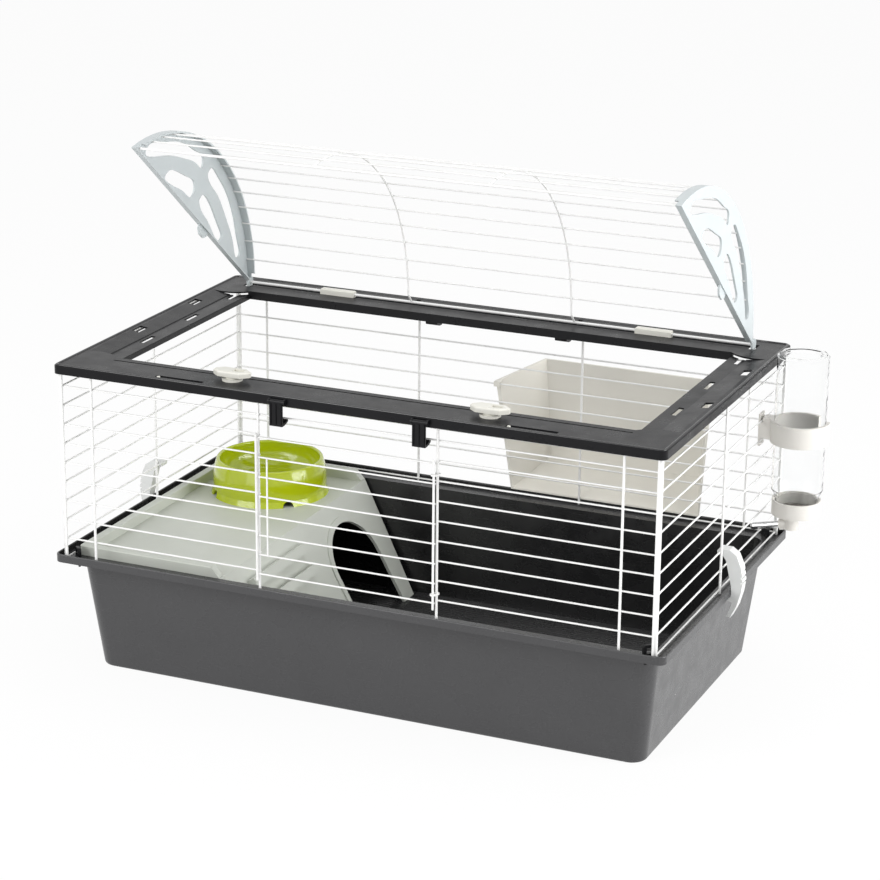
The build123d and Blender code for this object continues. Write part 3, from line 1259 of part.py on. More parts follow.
def make_ring_hook_plate():
    """The plate inside the wires that hooks over two level wires and meets the ring's arm."""
    wall_in = PANEL_X - LEVEL_IN - LEVEL_RADIUS - SEAT_GAP
    wall_out = PANEL_X - LEVEL_IN + LEVEL_RADIUS + SEAT_GAP
    half = HOOK_PLATE_WIDTH / 2
    low = level_z(6)
    high = level_z(7)
    plate = box(
        wall_in - HOOK_PLATE_THICKNESS, wall_in, DRINKER_Y - half, DRINKER_Y + half,
        low - LEVEL_PITCH / 3, high + LEVEL_PITCH / 3,
    )
    boss = box(
        wall_in - 1, wall_out, DRINKER_Y - half, DRINKER_Y + half,
        low + LEVEL_RADIUS + SEAT_GAP, high - LEVEL_RADIUS - SEAT_GAP,
    )
    return [plate + boss]


def save(name, pieces):
    """Write one sub-part with all its separate solids."""
    solids = []
    for piece in pieces:
        solids.extend(piece.solids())
    shape = solids[0] if len(solids) == 1 else Compound(children=solids)
    shape.label = name
    export_step(shape, f"parts/{name}.step")


def main():
    """Make every sub-part and write it out."""
    os.makedirs("parts", exist_ok=True)
    save("tray", [make_tray()])
    save("corner_brackets", make_corner_brackets())
    save("front_panel", make_front_panel())
    save("rear_panel", make_rear_panel())
    save("front_door", make_front_door())
    save("door_hinge_loops", make_door_hinge_loops())
    save("front_rail", make_end_rail(-1))
    save("rear_rail", make_end_rail(1))
    save("lid_hinge_wire", make_lid_hinge_wire())
    save("lid_front_wire", make_lid_front_wire())
    save("lid_wires", make_lid_wires())
    save("lid_arches", make_lid_arches())
    for name, side in (("left", -1), ("right", 1)):
        save(f"{name}_panel", make_side_panel(side))
        save(f"{name}_rail", make_side_rail(side))
        save(f"hinge_retainer_{name}", make_hinge_retainer(side))
        save(f"lid_end_{name}", make_lid_end(side))
        save(f"latch_base_{name}", make_latch_base(side))
        save(f"lid_latch_{name}", make_latch(side))
        save(f"side_clip_{name}", make_side_clip(side))
    for x, side, pivot_y, pivot_z in clip_places():
        end = "front" if side < 0 else "rear"
        hand = "left" if x < 0 else "right"
        save(f"rail_clip_{end}_{hand}", make_rail_clip(x, side, pivot_y, pivot_z))
    save("house_platform", make_house_platform())
    save("house_ramp", make_house_ramp())
    save("bowl", make_bowl())
    save("hay_rack", make_hay_rack())
    save("bottle", make_bottle())
    save("drinker_cap", make_drinker_cap())
    save("bottle_seal", make_bottle_seal())
    save("spout_tube", make_spout_tube())
    save("spout_ball", make_spout_ball())
    save("bottle_ring", make_bottle_ring())
    save("ring_hook_plate", make_ring_hook_plate())


main()
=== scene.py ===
import json
import math

import bpy
import numpy as np
from mathutils import Matrix, Vector


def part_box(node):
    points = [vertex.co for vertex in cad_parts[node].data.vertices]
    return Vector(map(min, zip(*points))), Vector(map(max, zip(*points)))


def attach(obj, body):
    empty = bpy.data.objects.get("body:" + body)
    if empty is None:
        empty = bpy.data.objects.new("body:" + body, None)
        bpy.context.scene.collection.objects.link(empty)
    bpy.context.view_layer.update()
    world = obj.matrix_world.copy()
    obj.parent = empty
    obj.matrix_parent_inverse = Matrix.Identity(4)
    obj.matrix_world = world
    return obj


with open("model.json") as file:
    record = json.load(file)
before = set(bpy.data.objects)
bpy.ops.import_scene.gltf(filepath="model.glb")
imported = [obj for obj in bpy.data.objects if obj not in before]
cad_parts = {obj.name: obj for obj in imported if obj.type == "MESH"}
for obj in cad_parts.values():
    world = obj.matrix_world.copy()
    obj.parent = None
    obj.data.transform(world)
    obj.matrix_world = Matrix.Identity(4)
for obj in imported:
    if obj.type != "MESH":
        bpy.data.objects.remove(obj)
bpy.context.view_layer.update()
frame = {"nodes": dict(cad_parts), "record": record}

bl_info = {
    "name": "Small animal cage",
    "version": (1, 0, 0),
    "blender": (4, 5, 0),
    "location": "3D View > Sidebar > Cage",
    "description": "Finishes and small moulded details of a wire cage on a plastic tray",
    "category": "Object",
}


def colour_property(name, description, default):
    """A colour as a property, written in linear values."""
    return bpy.props.FloatVectorProperty(
        name=name, description=description, default=default, subtype="COLOR", size=3, min=0.0, max=1.0)


def length_property(name, description, default):
    """A length as a property, in metres."""
    return bpy.props.FloatProperty(
        name=name, description=description, default=default, unit="LENGTH", subtype="DISTANCE", precision=4)


class CageColours(bpy.types.PropertyGroup):
    """The colours of the cage's plastics and coatings."""

    tray: colour_property("Tray", "Dark grey moulding of the tray", (0.048, 0.048, 0.050))
    frame: colour_property("Frame", "Black moulding of the top frame and clips", (0.007, 0.007, 0.008))
    wire: colour_property("Wire", "White powder coat of all wires", (0.82, 0.82, 0.81))
    ivory: colour_property("Ivory", "Latches and hinge blocks", (0.70, 0.69, 0.63))
    lid_end: colour_property("Lid ends", "Pale blue-grey moulding of the lid's ends", (0.50, 0.54, 0.55))
    claw: colour_property("Side clips", "Pale grey moulding of the side clips", (0.66, 0.67, 0.66))
    house: colour_property("House", "Light grey moulding of the house and its ramp", (0.54, 0.56, 0.51))
    bowl: colour_property("Bowl", "Lime green of the bowl", (0.42, 0.50, 0.004))
    rack: colour_property("Hay rack", "Beige-grey moulding of the hay rack", (0.74, 0.72, 0.66))
    drinker: colour_property("Drinker", "Cap and ring of the drinker", (0.66, 0.64, 0.60))


class CageSizes(bpy.types.PropertyGroup):
    """The sizes of the added details."""

    rib_pitch: length_property("Rib pitch", "Distance between the tray floor's ribs", 0.0072)
    rib_height: length_property("Rib height", "Height of the tray floor's ribs", 0.0016)
    weld_length: length_property("Weld length", "Length of the bead where two wires are welded", 0.0052)
    weld_height: length_property("Weld width", "Width of the bead where two wires are welded", 0.0030)
    bead_radius: length_property("Bead radius", "Half width of the raised beads along the mouldings", 0.0016)
    post_radius: length_property("Post radius", "Radius of the weld that joins two corner posts", 0.0024)
    plug_radius: length_property("Plug radius", "Radius of the white plugs in the front rail", 0.0026)


def node_shader(name):
    """An empty material with its node tree, shader and output."""
    material = bpy.data.materials.new(name)
    material.use_nodes = True
    tree = material.node_tree
    shader = tree.nodes["Principled BSDF"]
    return material, tree, shader


def texture_space(tree, stretch=(1.0, 1.0, 1.0)):
    """Object coordinates, stretched along the axes."""
    coordinates = tree.nodes.new("ShaderNodeTexCoord")
    mapping = tree.nodes.new("ShaderNodeMapping")
    mapping.inputs["Scale"].default_value = stretch
    tree.links.new(coordinates.outputs["Object"], mapping.inputs["Vector"])
    return mapping.outputs["Vector"]


def noise(tree, vector, scale, detail=3.0, roughness=0.5):
    """Noise over a vector."""
    node = tree.nodes.new("ShaderNodeTexNoise")
    node.inputs["Scale"].default_value = scale
    node.inputs["Detail"].default_value = detail
    node.inputs["Roughness"].default_value = roughness
    tree.links.new(vector, node.inputs["Vector"])
    return node.outputs["Fac"]


def ranged(tree, value, low, high, out_low, out_high):
    """A value moved from one range to another."""
    node = tree.nodes.new("ShaderNodeMapRange")
    for socket, number in zip(("From Min", "From Max", "To Min", "To Max"), (low, high, out_low, out_high)):
        node.inputs[socket].default_value = number
    tree.links.new(value, node.inputs["Value"])
    return node.outputs["Result"]


def blended(tree, factor, first, second):
    """Two colours blended by a factor."""
    node = tree.nodes.new("ShaderNodeMix")
    node.data_type = "RGBA"
    node.inputs["A"].default_value = (*first, 1.0)
    node.inputs["B"].default_value = (*second, 1.0)
    tree.links.new(factor, node.inputs["Factor"])
    return node.outputs["Result"]


def bumped(tree, shader, heights):
    """Bumps added one on another: each is a value and its depth in metres."""
    normal = None
    for value, depth in heights:
        node = tree.nodes.new("ShaderNodeBump")
        node.inputs["Strength"].default_value = 1.0
        node.inputs["Distance"].default_value = depth
        tree.links.new(value, node.inputs["Height"])
        if normal is not None:
            tree.links.new(normal, node.inputs["Normal"])
        normal = node.outputs["Normal"]
    tree.links.new(normal, shader.inputs["Normal"])


def shaded(colour, factor):
    """A colour made lighter or darker."""
    return tuple(min(1.0, c * factor) for c in colour)


def inward(tree):
    """One on faces that look towards the cage's middle, nought on faces that look away: the mask for painted shade
    on the inward faces.
    """
    geometry = tree.nodes.new("ShaderNodeNewGeometry")
    coordinates = tree.nodes.new("ShaderNodeTexCoord")
    level = tree.nodes.new("ShaderNodeVectorMath")
    level.operation = "MULTIPLY"
    level.inputs[1].default_value = (1.0, 1.0, 0.0)
    tree.links.new(coordinates.outputs["Object"], level.inputs[0])
    facing = tree.nodes.new("ShaderNodeVectorMath")
    facing.operation = "DOT_PRODUCT"
    tree.links.new(level.outputs["Vector"], facing.inputs[0])
    tree.links.new(geometry.outputs["Normal"], facing.inputs[1])
    return ranged(tree, facing.outputs["Value"], -0.02, 0.02, 1.0, 0.0)


def moulded_plastic(name, colour, roughness, grain, depth, variation=0.06, scuffs=0.0, coat=0.0, gloss=0.5,
                    inside_shade=1.0):
    """Injection-moulded plastic: flow marks in the colour, a fine grain and light scuffs.

    With the last argument below one, the faces that look inwards get painted shade: their colour is darkened by
    that factor, and their roughness stays the same.
    """
    material, tree, shader = node_shader(name)
    shader.inputs["Specular IOR Level"].default_value = gloss
    space = texture_space(tree)
    flow = noise(tree, space, 9.0, 2.0)
    fine = noise(tree, space, grain, 4.0, 0.6)
    wide = noise(tree, space, 34.0, 3.0)
    paint = blended(tree, ranged(tree, flow, 0.3, 0.7, 0.0, 1.0), shaded(colour, 1.0 - variation),
                    shaded(colour, 1.0 + variation))
    # painted shade: the colour of the faces that look inwards is darkened, standing in for the shade inside the
    # tray
    if inside_shade < 1.0:
        painted_shade_mix = tree.nodes.new("ShaderNodeMix")
        painted_shade_mix.data_type = "RGBA"
        painted_shade_mix.inputs["B"].default_value = (*shaded(colour, inside_shade), 1.0)
        tree.links.new(inward(tree), painted_shade_mix.inputs["Factor"])
        tree.links.new(paint, painted_shade_mix.inputs["A"])
        paint = painted_shade_mix.outputs["Result"]
    tree.links.new(paint, shader.inputs["Base Color"])
    heights = [(fine, depth), (wide, depth * 3.0)]
    if scuffs > 0.0:
        lines = noise(tree, texture_space(tree, (6.0, 240.0, 170.0)), 3.0, 2.0, 0.7)
        marks = ranged(tree, lines, 0.62, 0.72, 0.0, 1.0)
        heights.append((marks, -depth * 0.6))
        rough = tree.nodes.new("ShaderNodeMath")
        rough.operation = "MULTIPLY_ADD"
        rough.inputs[1].default_value = scuffs
        tree.links.new(marks, rough.inputs[0])
        tree.links.new(ranged(tree, wide, 0.3, 0.7, roughness - 0.05, roughness + 0.06), rough.inputs[2])
        tree.links.new(rough.outputs[0], shader.inputs["Roughness"])
    else:
        tree.links.new(ranged(tree, wide, 0.3, 0.7, roughness - 0.05, roughness + 0.06), shader.inputs["Roughness"])
    if coat > 0.0:
        shader.inputs["Coat Weight"].default_value = coat
        shader.inputs["Coat Roughness"].default_value = 0.08
    bumped(tree, shader, heights)
    return material


def powder_coat(name, colour):
    """White powder coat on wire: faint orange peel, and a slight greying where it is thin."""
    material, tree, shader = node_shader(name)
    space = texture_space(tree)
    peel = noise(tree, space, 620.0, 2.0)
    patches = noise(tree, space, 26.0, 3.0)
    tree.links.new(
        blended(tree, ranged(tree, patches, 0.35, 0.7, 0.0, 1.0), colour, shaded(colour, 0.94)),
        shader.inputs["Base Color"])
    tree.links.new(ranged(tree, patches, 0.3, 0.7, 0.30, 0.42), shader.inputs["Roughness"])
    bumped(tree, shader, [(peel, 0.00010)])
    return material


def clear_plastic(name):
    """Clear blown plastic: thin, a little uneven, with faint rings from the mould."""
    material, tree, shader = node_shader(name)
    shader.inputs["Base Color"].default_value = (0.995, 0.998, 0.998, 1.0)
    shader.inputs["Transmission Weight"].default_value = 1.0
    shader.inputs["IOR"].default_value = 1.18
    space = texture_space(tree)
    waves = noise(tree, texture_space(tree, (1.0, 1.0, 2.4)), 30.0, 2.0)
    tree.links.new(ranged(tree, noise(tree, space, 60.0), 0.3, 0.7, 0.02, 0.07), shader.inputs["Roughness"])
    bumped(tree, shader, [(waves, 0.0006)])
    return material


def drawn_steel(name):
    """Bright drawn steel with fine lines round the tube."""
    material, tree, shader = node_shader(name)
    lines = noise(tree, texture_space(tree, (900.0, 60.0, 60.0)), 2.0, 3.0)
    shader.inputs["Metallic"].default_value = 1.0
    tree.links.new(
        blended(tree, lines, (0.55, 0.55, 0.56), (0.68, 0.68, 0.68)), shader.inputs["Base Color"])
    tree.links.new(ranged(tree, lines, 0.3, 0.7, 0.16, 0.30), shader.inputs["Roughness"])
    bumped(tree, shader, [(lines, 0.00006)])
    return material


def finishes(colours):
    """Every finish of the cage by the record's slot name."""
    plastic = moulded_plastic
    return {
        # the last argument, 0.22, paints shade on the tray's inward faces by darkening their colour
        "tray_plastic": lambda: plastic(
            "tray_plastic", colours.tray, 0.27, 1500.0, 0.00003, 0.05, 0.08, 0.0, 0.5, 0.22),
        "black_plastic": lambda: plastic(
            "black_plastic", colours.frame, 0.30, 1300.0, 0.00004, 0.10, 0.08, 0.0, 0.16),
        "glossy_black": lambda: plastic("glossy_black", colours.frame, 0.20, 1300.0, 0.00002, 0.05, 0.04, 0.0, 0.6),
        "white_wire": lambda: powder_coat("white_wire", colours.wire),
        "ivory_plastic": lambda: plastic("ivory_plastic", colours.ivory, 0.30, 900.0, 0.00004, 0.02, 0.05),
        "lid_plastic": lambda: plastic("lid_plastic", colours.lid_end, 0.38, 1100.0, 0.00006, 0.03, 0.06),
        "clip_plastic": lambda: plastic("clip_plastic", colours.claw, 0.34, 1000.0, 0.00005, 0.02, 0.05),
        "house_plastic": lambda: plastic("house_plastic", colours.house, 0.48, 700.0, 0.00012, 0.03, 0.05),
        "lime_plastic": lambda: plastic("lime_plastic", colours.bowl, 0.16, 500.0, 0.00003, 0.03, 0.05, 0.5),
        "rack_plastic": lambda: plastic("rack_plastic", colours.rack, 0.42, 900.0, 0.00007, 0.03, 0.06),
        "clear_plastic": lambda: clear_plastic("clear_plastic"),
        "drinker_plastic": lambda: plastic("drinker_plastic", colours.drinker, 0.34, 900.0, 0.00005, 0.03, 0.05),
        "seal_rubber": lambda: plastic("seal_rubber", (0.30, 0.27, 0.25), 0.60, 800.0, 0.00010, 0.10),
        "spout_steel": lambda: drawn_steel("spout_steel"),
    }


def finish_named(context, slot):
    """The material of a slot, made the first time it is asked for."""
    material = bpy.data.materials.get(slot + "_finish")
    if material is None:
        material = finishes(context.scene.cage_colours)[slot]()
        material.name = slot + "_finish"
    return material


def paint_nodes(context, slots):
    """Give every CAD node with one of these slots its finish."""
    for part in frame["record"]["subparts"]:
        if part["material_slot"] not in slots:
            continue
        node = frame["nodes"][part["node"]]
        material = finish_named(context, part["material_slot"])
        if not node.material_slots:
            node.data.materials.append(material)
        for place in node.material_slots:
            place.material = material


def new_piece(context, name, vertices, faces, slot, body, smooth=True, finish=None):
    """A mesh piece at the origin, in its slot's finish or one of its own, that rides on a body."""
    mesh = bpy.data.meshes.new(name)
    mesh.from_pydata(vertices.tolist(), [], faces.tolist())
    mesh.update()
    if smooth:
        mesh.polygons.foreach_set("use_smooth", np.ones(len(mesh.polygons), dtype=bool))
    piece = bpy.data.objects.new(name, mesh)
    context.scene.collection.objects.link(piece)
    mesh.materials.append(finish_named(context, finish or slot))
    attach(piece, body)
    return piece


def grid_faces(rows, columns):
    """The quads of a grid of rows by columns, counter-clockwise seen from above."""
    row, column = np.meshgrid(np.arange(rows - 1), np.arange(columns - 1), indexing="ij")
    corner = (row * columns + column).ravel()
    return np.stack([corner, corner + columns, corner + columns + 1, corner + 1], axis=1)


class CAGE_OT_paint_tray(bpy.types.Operator):
    """Finish the tray and the black mouldings"""

    bl_idname = "cage.paint_tray"
    bl_label = "Tray and frame finish"

    def execute(self, context):
        paint_nodes(context, ("tray_plastic", "black_plastic"))
        return {"FINISHED"}


class CAGE_OT_paint_wires(bpy.types.Operator):
    """Finish all wires with powder coat"""

    bl_idname = "cage.paint_wires"
    bl_label = "Wire finish"

    def execute(self, context):
        paint_nodes(context, ("white_wire",))
        return {"FINISHED"}


class CAGE_OT_paint_fittings(bpy.types.Operator):
    """Finish the lid ends, latches, clips, house, bowl, rack and drinker"""

    bl_idname = "cage.paint_fittings"
    bl_label = "Fittings finish"

    def execute(self, context):
        paint_nodes(context, (
            "ivory_plastic", "lid_plastic", "clip_plastic", "house_plastic", "lime_plastic", "rack_plastic",
            "clear_plastic", "drinker_plastic", "seal_rubber", "spout_steel"))
        return {"FINISHED"}


def rib_patch(x0, x1, y0, y1, floor, pitch, height):
    """A ribbed sheet that lies on the tray's floor.

    The height over the floor is a row of rounded ridges along X: the positive part of a cosine in Y,
    raised to the power 0.7, that fades to nothing over the last four millimetres at both ends.
    """
    ribs = int((y1 - y0) / pitch)
    y = np.linspace(y0, y0 + ribs * pitch, ribs * 8 + 1)
    x = np.array([x0, x0 + 0.002, x0 + 0.004, x1 - 0.004, x1 - 0.002, x1])
    fade = np.clip(np.minimum(x - x0, x1 - x) / 0.004, 0.0, 1.0)
    ridge = np.clip(-np.cos((y - y0) / pitch * 2 * math.pi), 0.0, 1.0) ** 0.7 * height
    gx, gy = np.meshgrid(x, y, indexing="ij")
    z = floor + np.outer(fade, ridge)
    return np.stack([gx.ravel(), gy.ravel(), z.ravel()], axis=1), grid_faces(len(x), len(y))


class CAGE_OT_tray_ribs(bpy.types.Operator):
    """Add the fine lengthwise ribs of the tray's floor"""

    bl_idname = "cage.tray_ribs"
    bl_label = "Tray floor ribs"

    def execute(self, context):
        sizes = context.scene.cage_sizes
        low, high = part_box("house_ramp")
        tray_low, tray_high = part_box("tray")
        floor = 0.0031
        margin = 0.060
        patches = (
            ("tray_ribs_right", high[0] + 0.004, tray_high[0] - margin),
            ("tray_ribs_under_house", tray_low[0] + margin, high[0] - 0.012),
        )
        for name, x0, x1 in patches:
            vertices, faces = rib_patch(
                x0, x1, tray_low[1] + margin + 0.006, tray_high[1] - margin - 0.006, floor,
                sizes.rib_pitch, sizes.rib_height)
            new_piece(context, name, vertices, faces, "tray_plastic", "root")
        return {"FINISHED"}


def ball(rings, sides):
    """A unit ball of rings and sides as vertices and quads, with its poles as small rings."""
    tilt = np.linspace(0.12, math.pi - 0.12, rings)
    turn = np.linspace(0.0, 2 * math.pi, sides, endpoint=False)
    t, a = np.meshgrid(tilt, turn, indexing="ij")
    points = np.stack([np.sin(t) * np.cos(a), np.sin(t) * np.sin(a), np.cos(t)], axis=-1).reshape(-1, 3)
    row, side = np.meshgrid(np.arange(rings - 1), np.arange(sides), indexing="ij")
    here = (row * sides + side).ravel()
    beside = (row * sides + (side + 1) % sides).ravel()
    faces = np.stack([here, here + sides, beside + sides, beside], axis=1)
    return points, faces


def repeated(points, faces, places):
    """One shape at every place, as one set of vertices and faces."""
    places = np.asarray(places)
    vertices = (places[:, None, :] + points[None, :, :]).reshape(-1, 3)
    offsets = np.arange(len(places))[:, None, None] * len(points)
    return vertices, (faces[None, :, :] + offsets).reshape(-1, faces.shape[1])


def level_wires():
    """Heights of the walls' level wires in metres, from the bottom one to the one under the frame."""
    first = 0.183
    return np.array([first] + [first + 0.030 + 0.0295 * k for k in range(9)] + [0.4777])


class CAGE_OT_weld_beads(bpy.types.Operator):
    """Add the small weld beads where the walls' wires cross"""

    bl_idname = "cage.weld_beads"
    bl_label = "Weld beads"

    def execute(self, context):
        sizes = context.scene.cage_sizes
        points, faces = ball(5, 8)
        heights = level_wires()
        long = np.array([sizes.weld_length / 2, 0.0013, sizes.weld_height / 2])
        for name, y in (("weld_beads_front", -0.2777), ("weld_beads_rear", 0.2777)):
            across = np.array([-0.461, -0.4115, -0.139, 0.139, 0.4115, 0.461])
            x, z = np.meshgrid(across, heights)
            places = np.stack([x.ravel(), np.full(x.size, y), z.ravel()], axis=1)
            vertices, quads = repeated(points * long, faces, places)
            new_piece(context, name, vertices, quads, "white_wire", "root")
        deep = np.array([0.0013, sizes.weld_length / 2, sizes.weld_height / 2])
        for name, x in (("weld_beads_left", -0.4632), ("weld_beads_right", 0.4632)):
            along = np.array([-0.2765, 0.0, 0.2765])
            y, z = np.meshgrid(along, heights)
            places = np.stack([np.full(y.size, x), y.ravel(), z.ravel()], axis=1)
            vertices, quads = repeated(points * deep, faces, places)
            new_piece(context, name, vertices, quads, "white_wire", "root")
        return {"FINISHED"}


def rounded_path(half_x, half_y, corner, centre_y, steps):
    """Points and outward directions round a rectangle with rounded corners, counter-clockwise."""
    turn = np.linspace(0.0, math.pi / 2, steps)
    points, outward = [], []
    for quarter, (sx, sy) in enumerate(((1, 1), (-1, 1), (-1, -1), (1, -1))):
        angle = turn + quarter * math.pi / 2
        way = np.stack([np.cos(angle), np.sin(angle)], axis=1)
        middle = np.array([sx * (half_x - corner), centre_y + sy * (half_y - corner)])
        points.append(middle + corner * way)
        outward.append(way)
    return np.concatenate(points), np.concatenate(outward)


def bead_round(points, outward, z, radius, lift):
    """A half-round bead carried round a closed path.

    At each point of the path its section is half a circle of the given radius, squashed to the lift in Z,
    and turned so that it spans the path's outward direction.
    """
    bow = np.linspace(0.0, math.pi, 9)
    along = -np.cos(bow) * radius
    up = np.sin(bow) * lift
    x = points[:, None, 0] + outward[:, None, 0] * along[None, :]
    y = points[:, None, 1] + outward[:, None, 1] * along[None, :]
    height = np.full_like(x, z) + up[None, :]
    vertices = np.stack([x.ravel(), y.ravel(), height.ravel()], axis=1)
    count, across = len(points), len(bow)
    row, column = np.meshgrid(np.arange(count), np.arange(across - 1), indexing="ij")
    here = (row * across + column).ravel()
    beyond = ((row + 1) % count * across + column).ravel()
    return vertices, np.stack([here, here + 1, beyond + 1, beyond], axis=1)


class CAGE_OT_moulding_beads(bpy.types.Operator):
    """Add the raised beads round the tray's rim and the top frame"""

    bl_idname = "cage.moulding_beads"
    bl_label = "Moulding beads"

    def execute(self, context):
        radius = context.scene.cage_sizes.bead_radius
        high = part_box("tray")[1]
        points, outward = rounded_path(high[0] - radius, high[1] - radius, 0.0105, 0.0, 7)
        new_piece(context, "tray_rim_bead", *bead_round(points, outward, high[2] - 0.0001, radius, radius * 0.8),
                  "tray_plastic", "root")
        half_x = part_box("right_rail")[1][0]
        half_y = high[1]
        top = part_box("right_rail")[1][2]
        points, outward = rounded_path(half_x - 0.0040, half_y - 0.0040, 0.0070, 0.0, 6)
        new_piece(context, "frame_outer_bead",
                  *bead_round(points, outward, top - 0.0001, radius * 1.3, radius),
                  "black_plastic", "root", finish="glossy_black")
        return {"FINISHED"}


class CAGE_OT_corner_welds(bpy.types.Operator):
    """Add the long welds that make one thick post of the two wires at each corner"""

    bl_idname = "cage.corner_welds"
    bl_label = "Corner welds"

    def execute(self, context):
        radius = context.scene.cage_sizes.post_radius
        turn = np.linspace(0.0, 2 * math.pi, 12, endpoint=False)
        z = np.array([0.1806, 0.1816, 0.4720, 0.4732])
        r = np.array([0.35, 1.0, 1.0, 0.35]) * radius
        points = np.stack([
            (r[:, None] * np.cos(turn)).ravel(), (r[:, None] * np.sin(turn)).ravel(), np.repeat(z, 12)], axis=1)
        row, side = np.meshgrid(np.arange(3), np.arange(12), indexing="ij")
        here, beside = (row * 12 + side).ravel(), (row * 12 + (side + 1) % 12).ravel()
        faces = np.stack([here, beside, beside + 12, here + 12], axis=1)
        places = [(sx * 0.4631, sy * 0.2780, 0.0) for sx in (-1, 1) for sy in (-1, 1)]
        new_piece(context, "corner_welds", *repeated(points, faces, places), "white_wire", "root")
        return {"FINISHED"}


class CAGE_OT_rail_plugs(bpy.types.Operator):
    """Add the two small white plugs at the left ends of the front rail's recesses"""

    bl_idname = "cage.rail_plugs"
    bl_label = "Rail plugs"

    def execute(self, context):
        radius = context.scene.cage_sizes.plug_radius
        turn = np.linspace(0.0, 2 * math.pi, 24, endpoint=False)
        rings = np.array([[1.0, 0.0], [1.0, 0.45], [0.86, 0.62], [0.5, 0.74], [0.1, 0.78]]) * radius
        r, h = rings[:, 0][:, None], rings[:, 1][:, None]
        ring = np.stack([r * np.cos(turn), r * np.sin(turn), np.repeat(h, 24, axis=1)], axis=-1)
        points = np.concatenate([ring.reshape(-1, 3), [[0.0, 0.0, 0.79 * radius]]])
        row, side = np.meshgrid(np.arange(4), np.arange(24), indexing="ij")
        here, beside = (row * 24 + side).ravel(), (row * 24 + (side + 1) % 24).ravel()
        quads = np.stack([here, beside, beside + 24, here + 24], axis=1)
        edge = 96 + np.arange(24)
        cap = np.stack([edge, 96 + (np.arange(24) + 1) % 24, np.full(24, 120), np.full(24, 120)], axis=1)
        places = [(-0.304, -0.270, 0.4805), (0.240, -0.270, 0.4805)]
        vertices, sides = repeated(points, quads, places)
        caps = (cap[None] + np.arange(2)[:, None, None] * len(points)).reshape(-1, 4)[:, :3]
        mesh = bpy.data.meshes.new("rail_plugs")
        mesh.from_pydata(vertices.tolist(), [], sides.tolist() + caps.tolist())
        mesh.polygons.foreach_set("use_smooth", np.ones(len(mesh.polygons), dtype=bool))
        piece = bpy.data.objects.new("rail_plugs", mesh)
        context.scene.collection.objects.link(piece)
        mesh.materials.append(finish_named(context, "ivory_plastic"))
        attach(piece, "root")
        return {"FINISHED"}


def light_path_mix(tree):
    """One where a camera, glossy or transmission ray looks."""
    rays = tree.nodes.new("ShaderNodeLightPath")
    total = rays.outputs["Is Camera Ray"]
    for name in ("Is Glossy Ray", "Is Transmission Ray"):
        add = tree.nodes.new("ShaderNodeMath")
        add.operation = "MAXIMUM"
        tree.links.new(total, add.inputs[0])
        tree.links.new(rays.outputs[name], add.inputs[1])
        total = add.outputs[0]
    return total


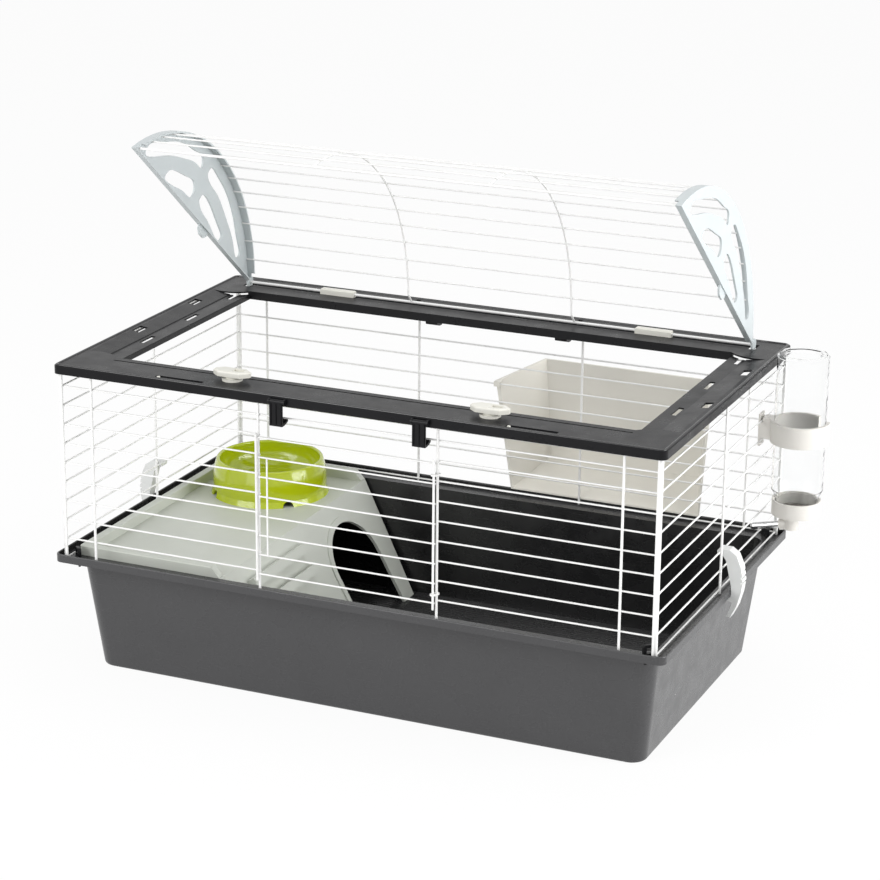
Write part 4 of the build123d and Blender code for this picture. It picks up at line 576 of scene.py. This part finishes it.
class CAGE_OT_stage(bpy.types.Operator):
    """Add the floor, the world, the lamps and the camera"""

    bl_idname = "cage.stage"
    bl_label = "Stage"

    def execute(self, context):
        scene = context.scene
        mesh = bpy.data.meshes.new("floor")
        mesh.from_pydata([(-30, -30, 0), (30, -30, 0), (30, 30, 0), (-30, 30, 0)], [], [(0, 1, 2, 3)])
        floor = bpy.data.objects.new("floor", mesh)
        scene.collection.objects.link(floor)
        material, tree, shader = node_shader("floor_paper")
        shader.inputs["Base Color"].default_value = (0.86, 0.86, 0.86, 1.0)
        shader.inputs["Roughness"].default_value = 0.9
        shader.inputs["Specular IOR Level"].default_value = 0.0
        glow = tree.nodes.new("ShaderNodeEmission")
        glow.inputs["Strength"].default_value = 1.0
        half = tree.nodes.new("ShaderNodeMath")
        half.operation = "MULTIPLY"
        half.inputs[1].default_value = 0.93
        tree.links.new(light_path_mix(tree), half.inputs[0])
        mix = tree.nodes.new("ShaderNodeMixShader")
        tree.links.new(half.outputs[0], mix.inputs[0])
        tree.links.new(shader.outputs[0], mix.inputs[1])
        tree.links.new(glow.outputs[0], mix.inputs[2])
        tree.links.new(mix.outputs[0], tree.nodes["Material Output"].inputs["Surface"])
        mesh.materials.append(material)

        world = bpy.data.worlds.new("studio")
        scene.world = world
        world.use_nodes = True
        nodes, links = world.node_tree.nodes, world.node_tree.links
        background = nodes["Background"]
        background.inputs["Color"].default_value = (1.0, 1.0, 1.0, 1.0)
        seen = ranged(world.node_tree, light_path_mix(world.node_tree), 0.0, 1.0, 0.60, 1.0)
        links.new(seen, background.inputs["Strength"])

        lamps = (
            ("lamp_key", (-1.6, -2.8, 2.2), 2.2, 64.0),
            ("lamp_front", (-0.9, -3.6, 0.9), 1.8, 20.0),
            ("lamp_right", (2.7, 0.1, 1.1), 1.8, 68.0),
            ("lamp_top", (0.2, 0.8, 3.2), 2.4, 18.0),
        )
        for name, place, size, power in lamps:
            lamp = bpy.data.lights.new(name, "AREA")
            lamp.size = size
            lamp.energy = power
            holder = bpy.data.objects.new(name, lamp)
            holder.location = place
            aim = Vector((0.0, 0.0, 0.30)) - Vector(place)
            holder.rotation_euler = aim.to_track_quat("-Z", "Y").to_euler()
            scene.collection.objects.link(holder)

        camera = bpy.data.cameras.new("photo_camera")
        camera.lens = 113.29
        camera.sensor_width = 36.0
        camera.clip_end = 60.0
        holder = bpy.data.objects.new("photo_camera", camera)
        scene.collection.objects.link(holder)
        yaw, pitch, roll = (math.radians(v) for v in (-23.5759, 18.0741, 0.55075))
        forward = Vector((math.sin(yaw) * math.cos(pitch), math.cos(yaw) * math.cos(pitch), -math.sin(pitch)))
        right = Vector((math.cos(yaw), -math.sin(yaw), 0.0))
        up = right.cross(forward)
        across = right * math.cos(roll) + up * math.sin(roll)
        upward = -right * math.sin(roll) + up * math.cos(roll)
        turn = Matrix((across, upward, -forward)).transposed()
        holder.matrix_world = Matrix.Translation((1.5903, -3.5978, 1.6325)) @ turn.to_4x4()
        scene.camera = holder
        scene.view_settings.view_transform = "Standard"
        return {"FINISHED"}


class CAGE_PT_panel(bpy.types.Panel):
    """The cage's pieces, sizes and colours"""

    bl_idname = "CAGE_PT_panel"
    bl_label = "Small animal cage"
    bl_space_type = "VIEW_3D"
    bl_region_type = "UI"
    bl_category = "Cage"

    def draw(self, context):
        column = self.layout.column()
        for operator in OPERATORS:
            column.operator(operator.bl_idname)
        for group in (context.scene.cage_sizes, context.scene.cage_colours):
            for name in group.bl_rna.properties.keys():
                if name not in ("rna_type", "name"):
                    column.prop(group, name)


OPERATORS = (
    CAGE_OT_paint_tray, CAGE_OT_paint_wires, CAGE_OT_paint_fittings, CAGE_OT_tray_ribs, CAGE_OT_weld_beads,
    CAGE_OT_moulding_beads, CAGE_OT_corner_welds, CAGE_OT_rail_plugs, CAGE_OT_stage,
)
CLASSES = (CageColours, CageSizes) + OPERATORS + (CAGE_PT_panel,)


def register():
    """Register the classes and hang the properties on the scene."""
    for cls in CLASSES:
        bpy.utils.register_class(cls)
    bpy.types.Scene.cage_colours = bpy.props.PointerProperty(type=CageColours)
    bpy.types.Scene.cage_sizes = bpy.props.PointerProperty(type=CageSizes)


def unregister():
    """Take the properties and classes away again."""
    del bpy.types.Scene.cage_sizes
    del bpy.types.Scene.cage_colours
    for cls in reversed(CLASSES):
        bpy.utils.unregister_class(cls)


def main():
    """Make every piece in order."""
    register()
    for operator in OPERATORS:
        group, name = operator.bl_idname.split(".")
        getattr(getattr(bpy.ops, group), name)()


if __name__ == "__main__":
    main()
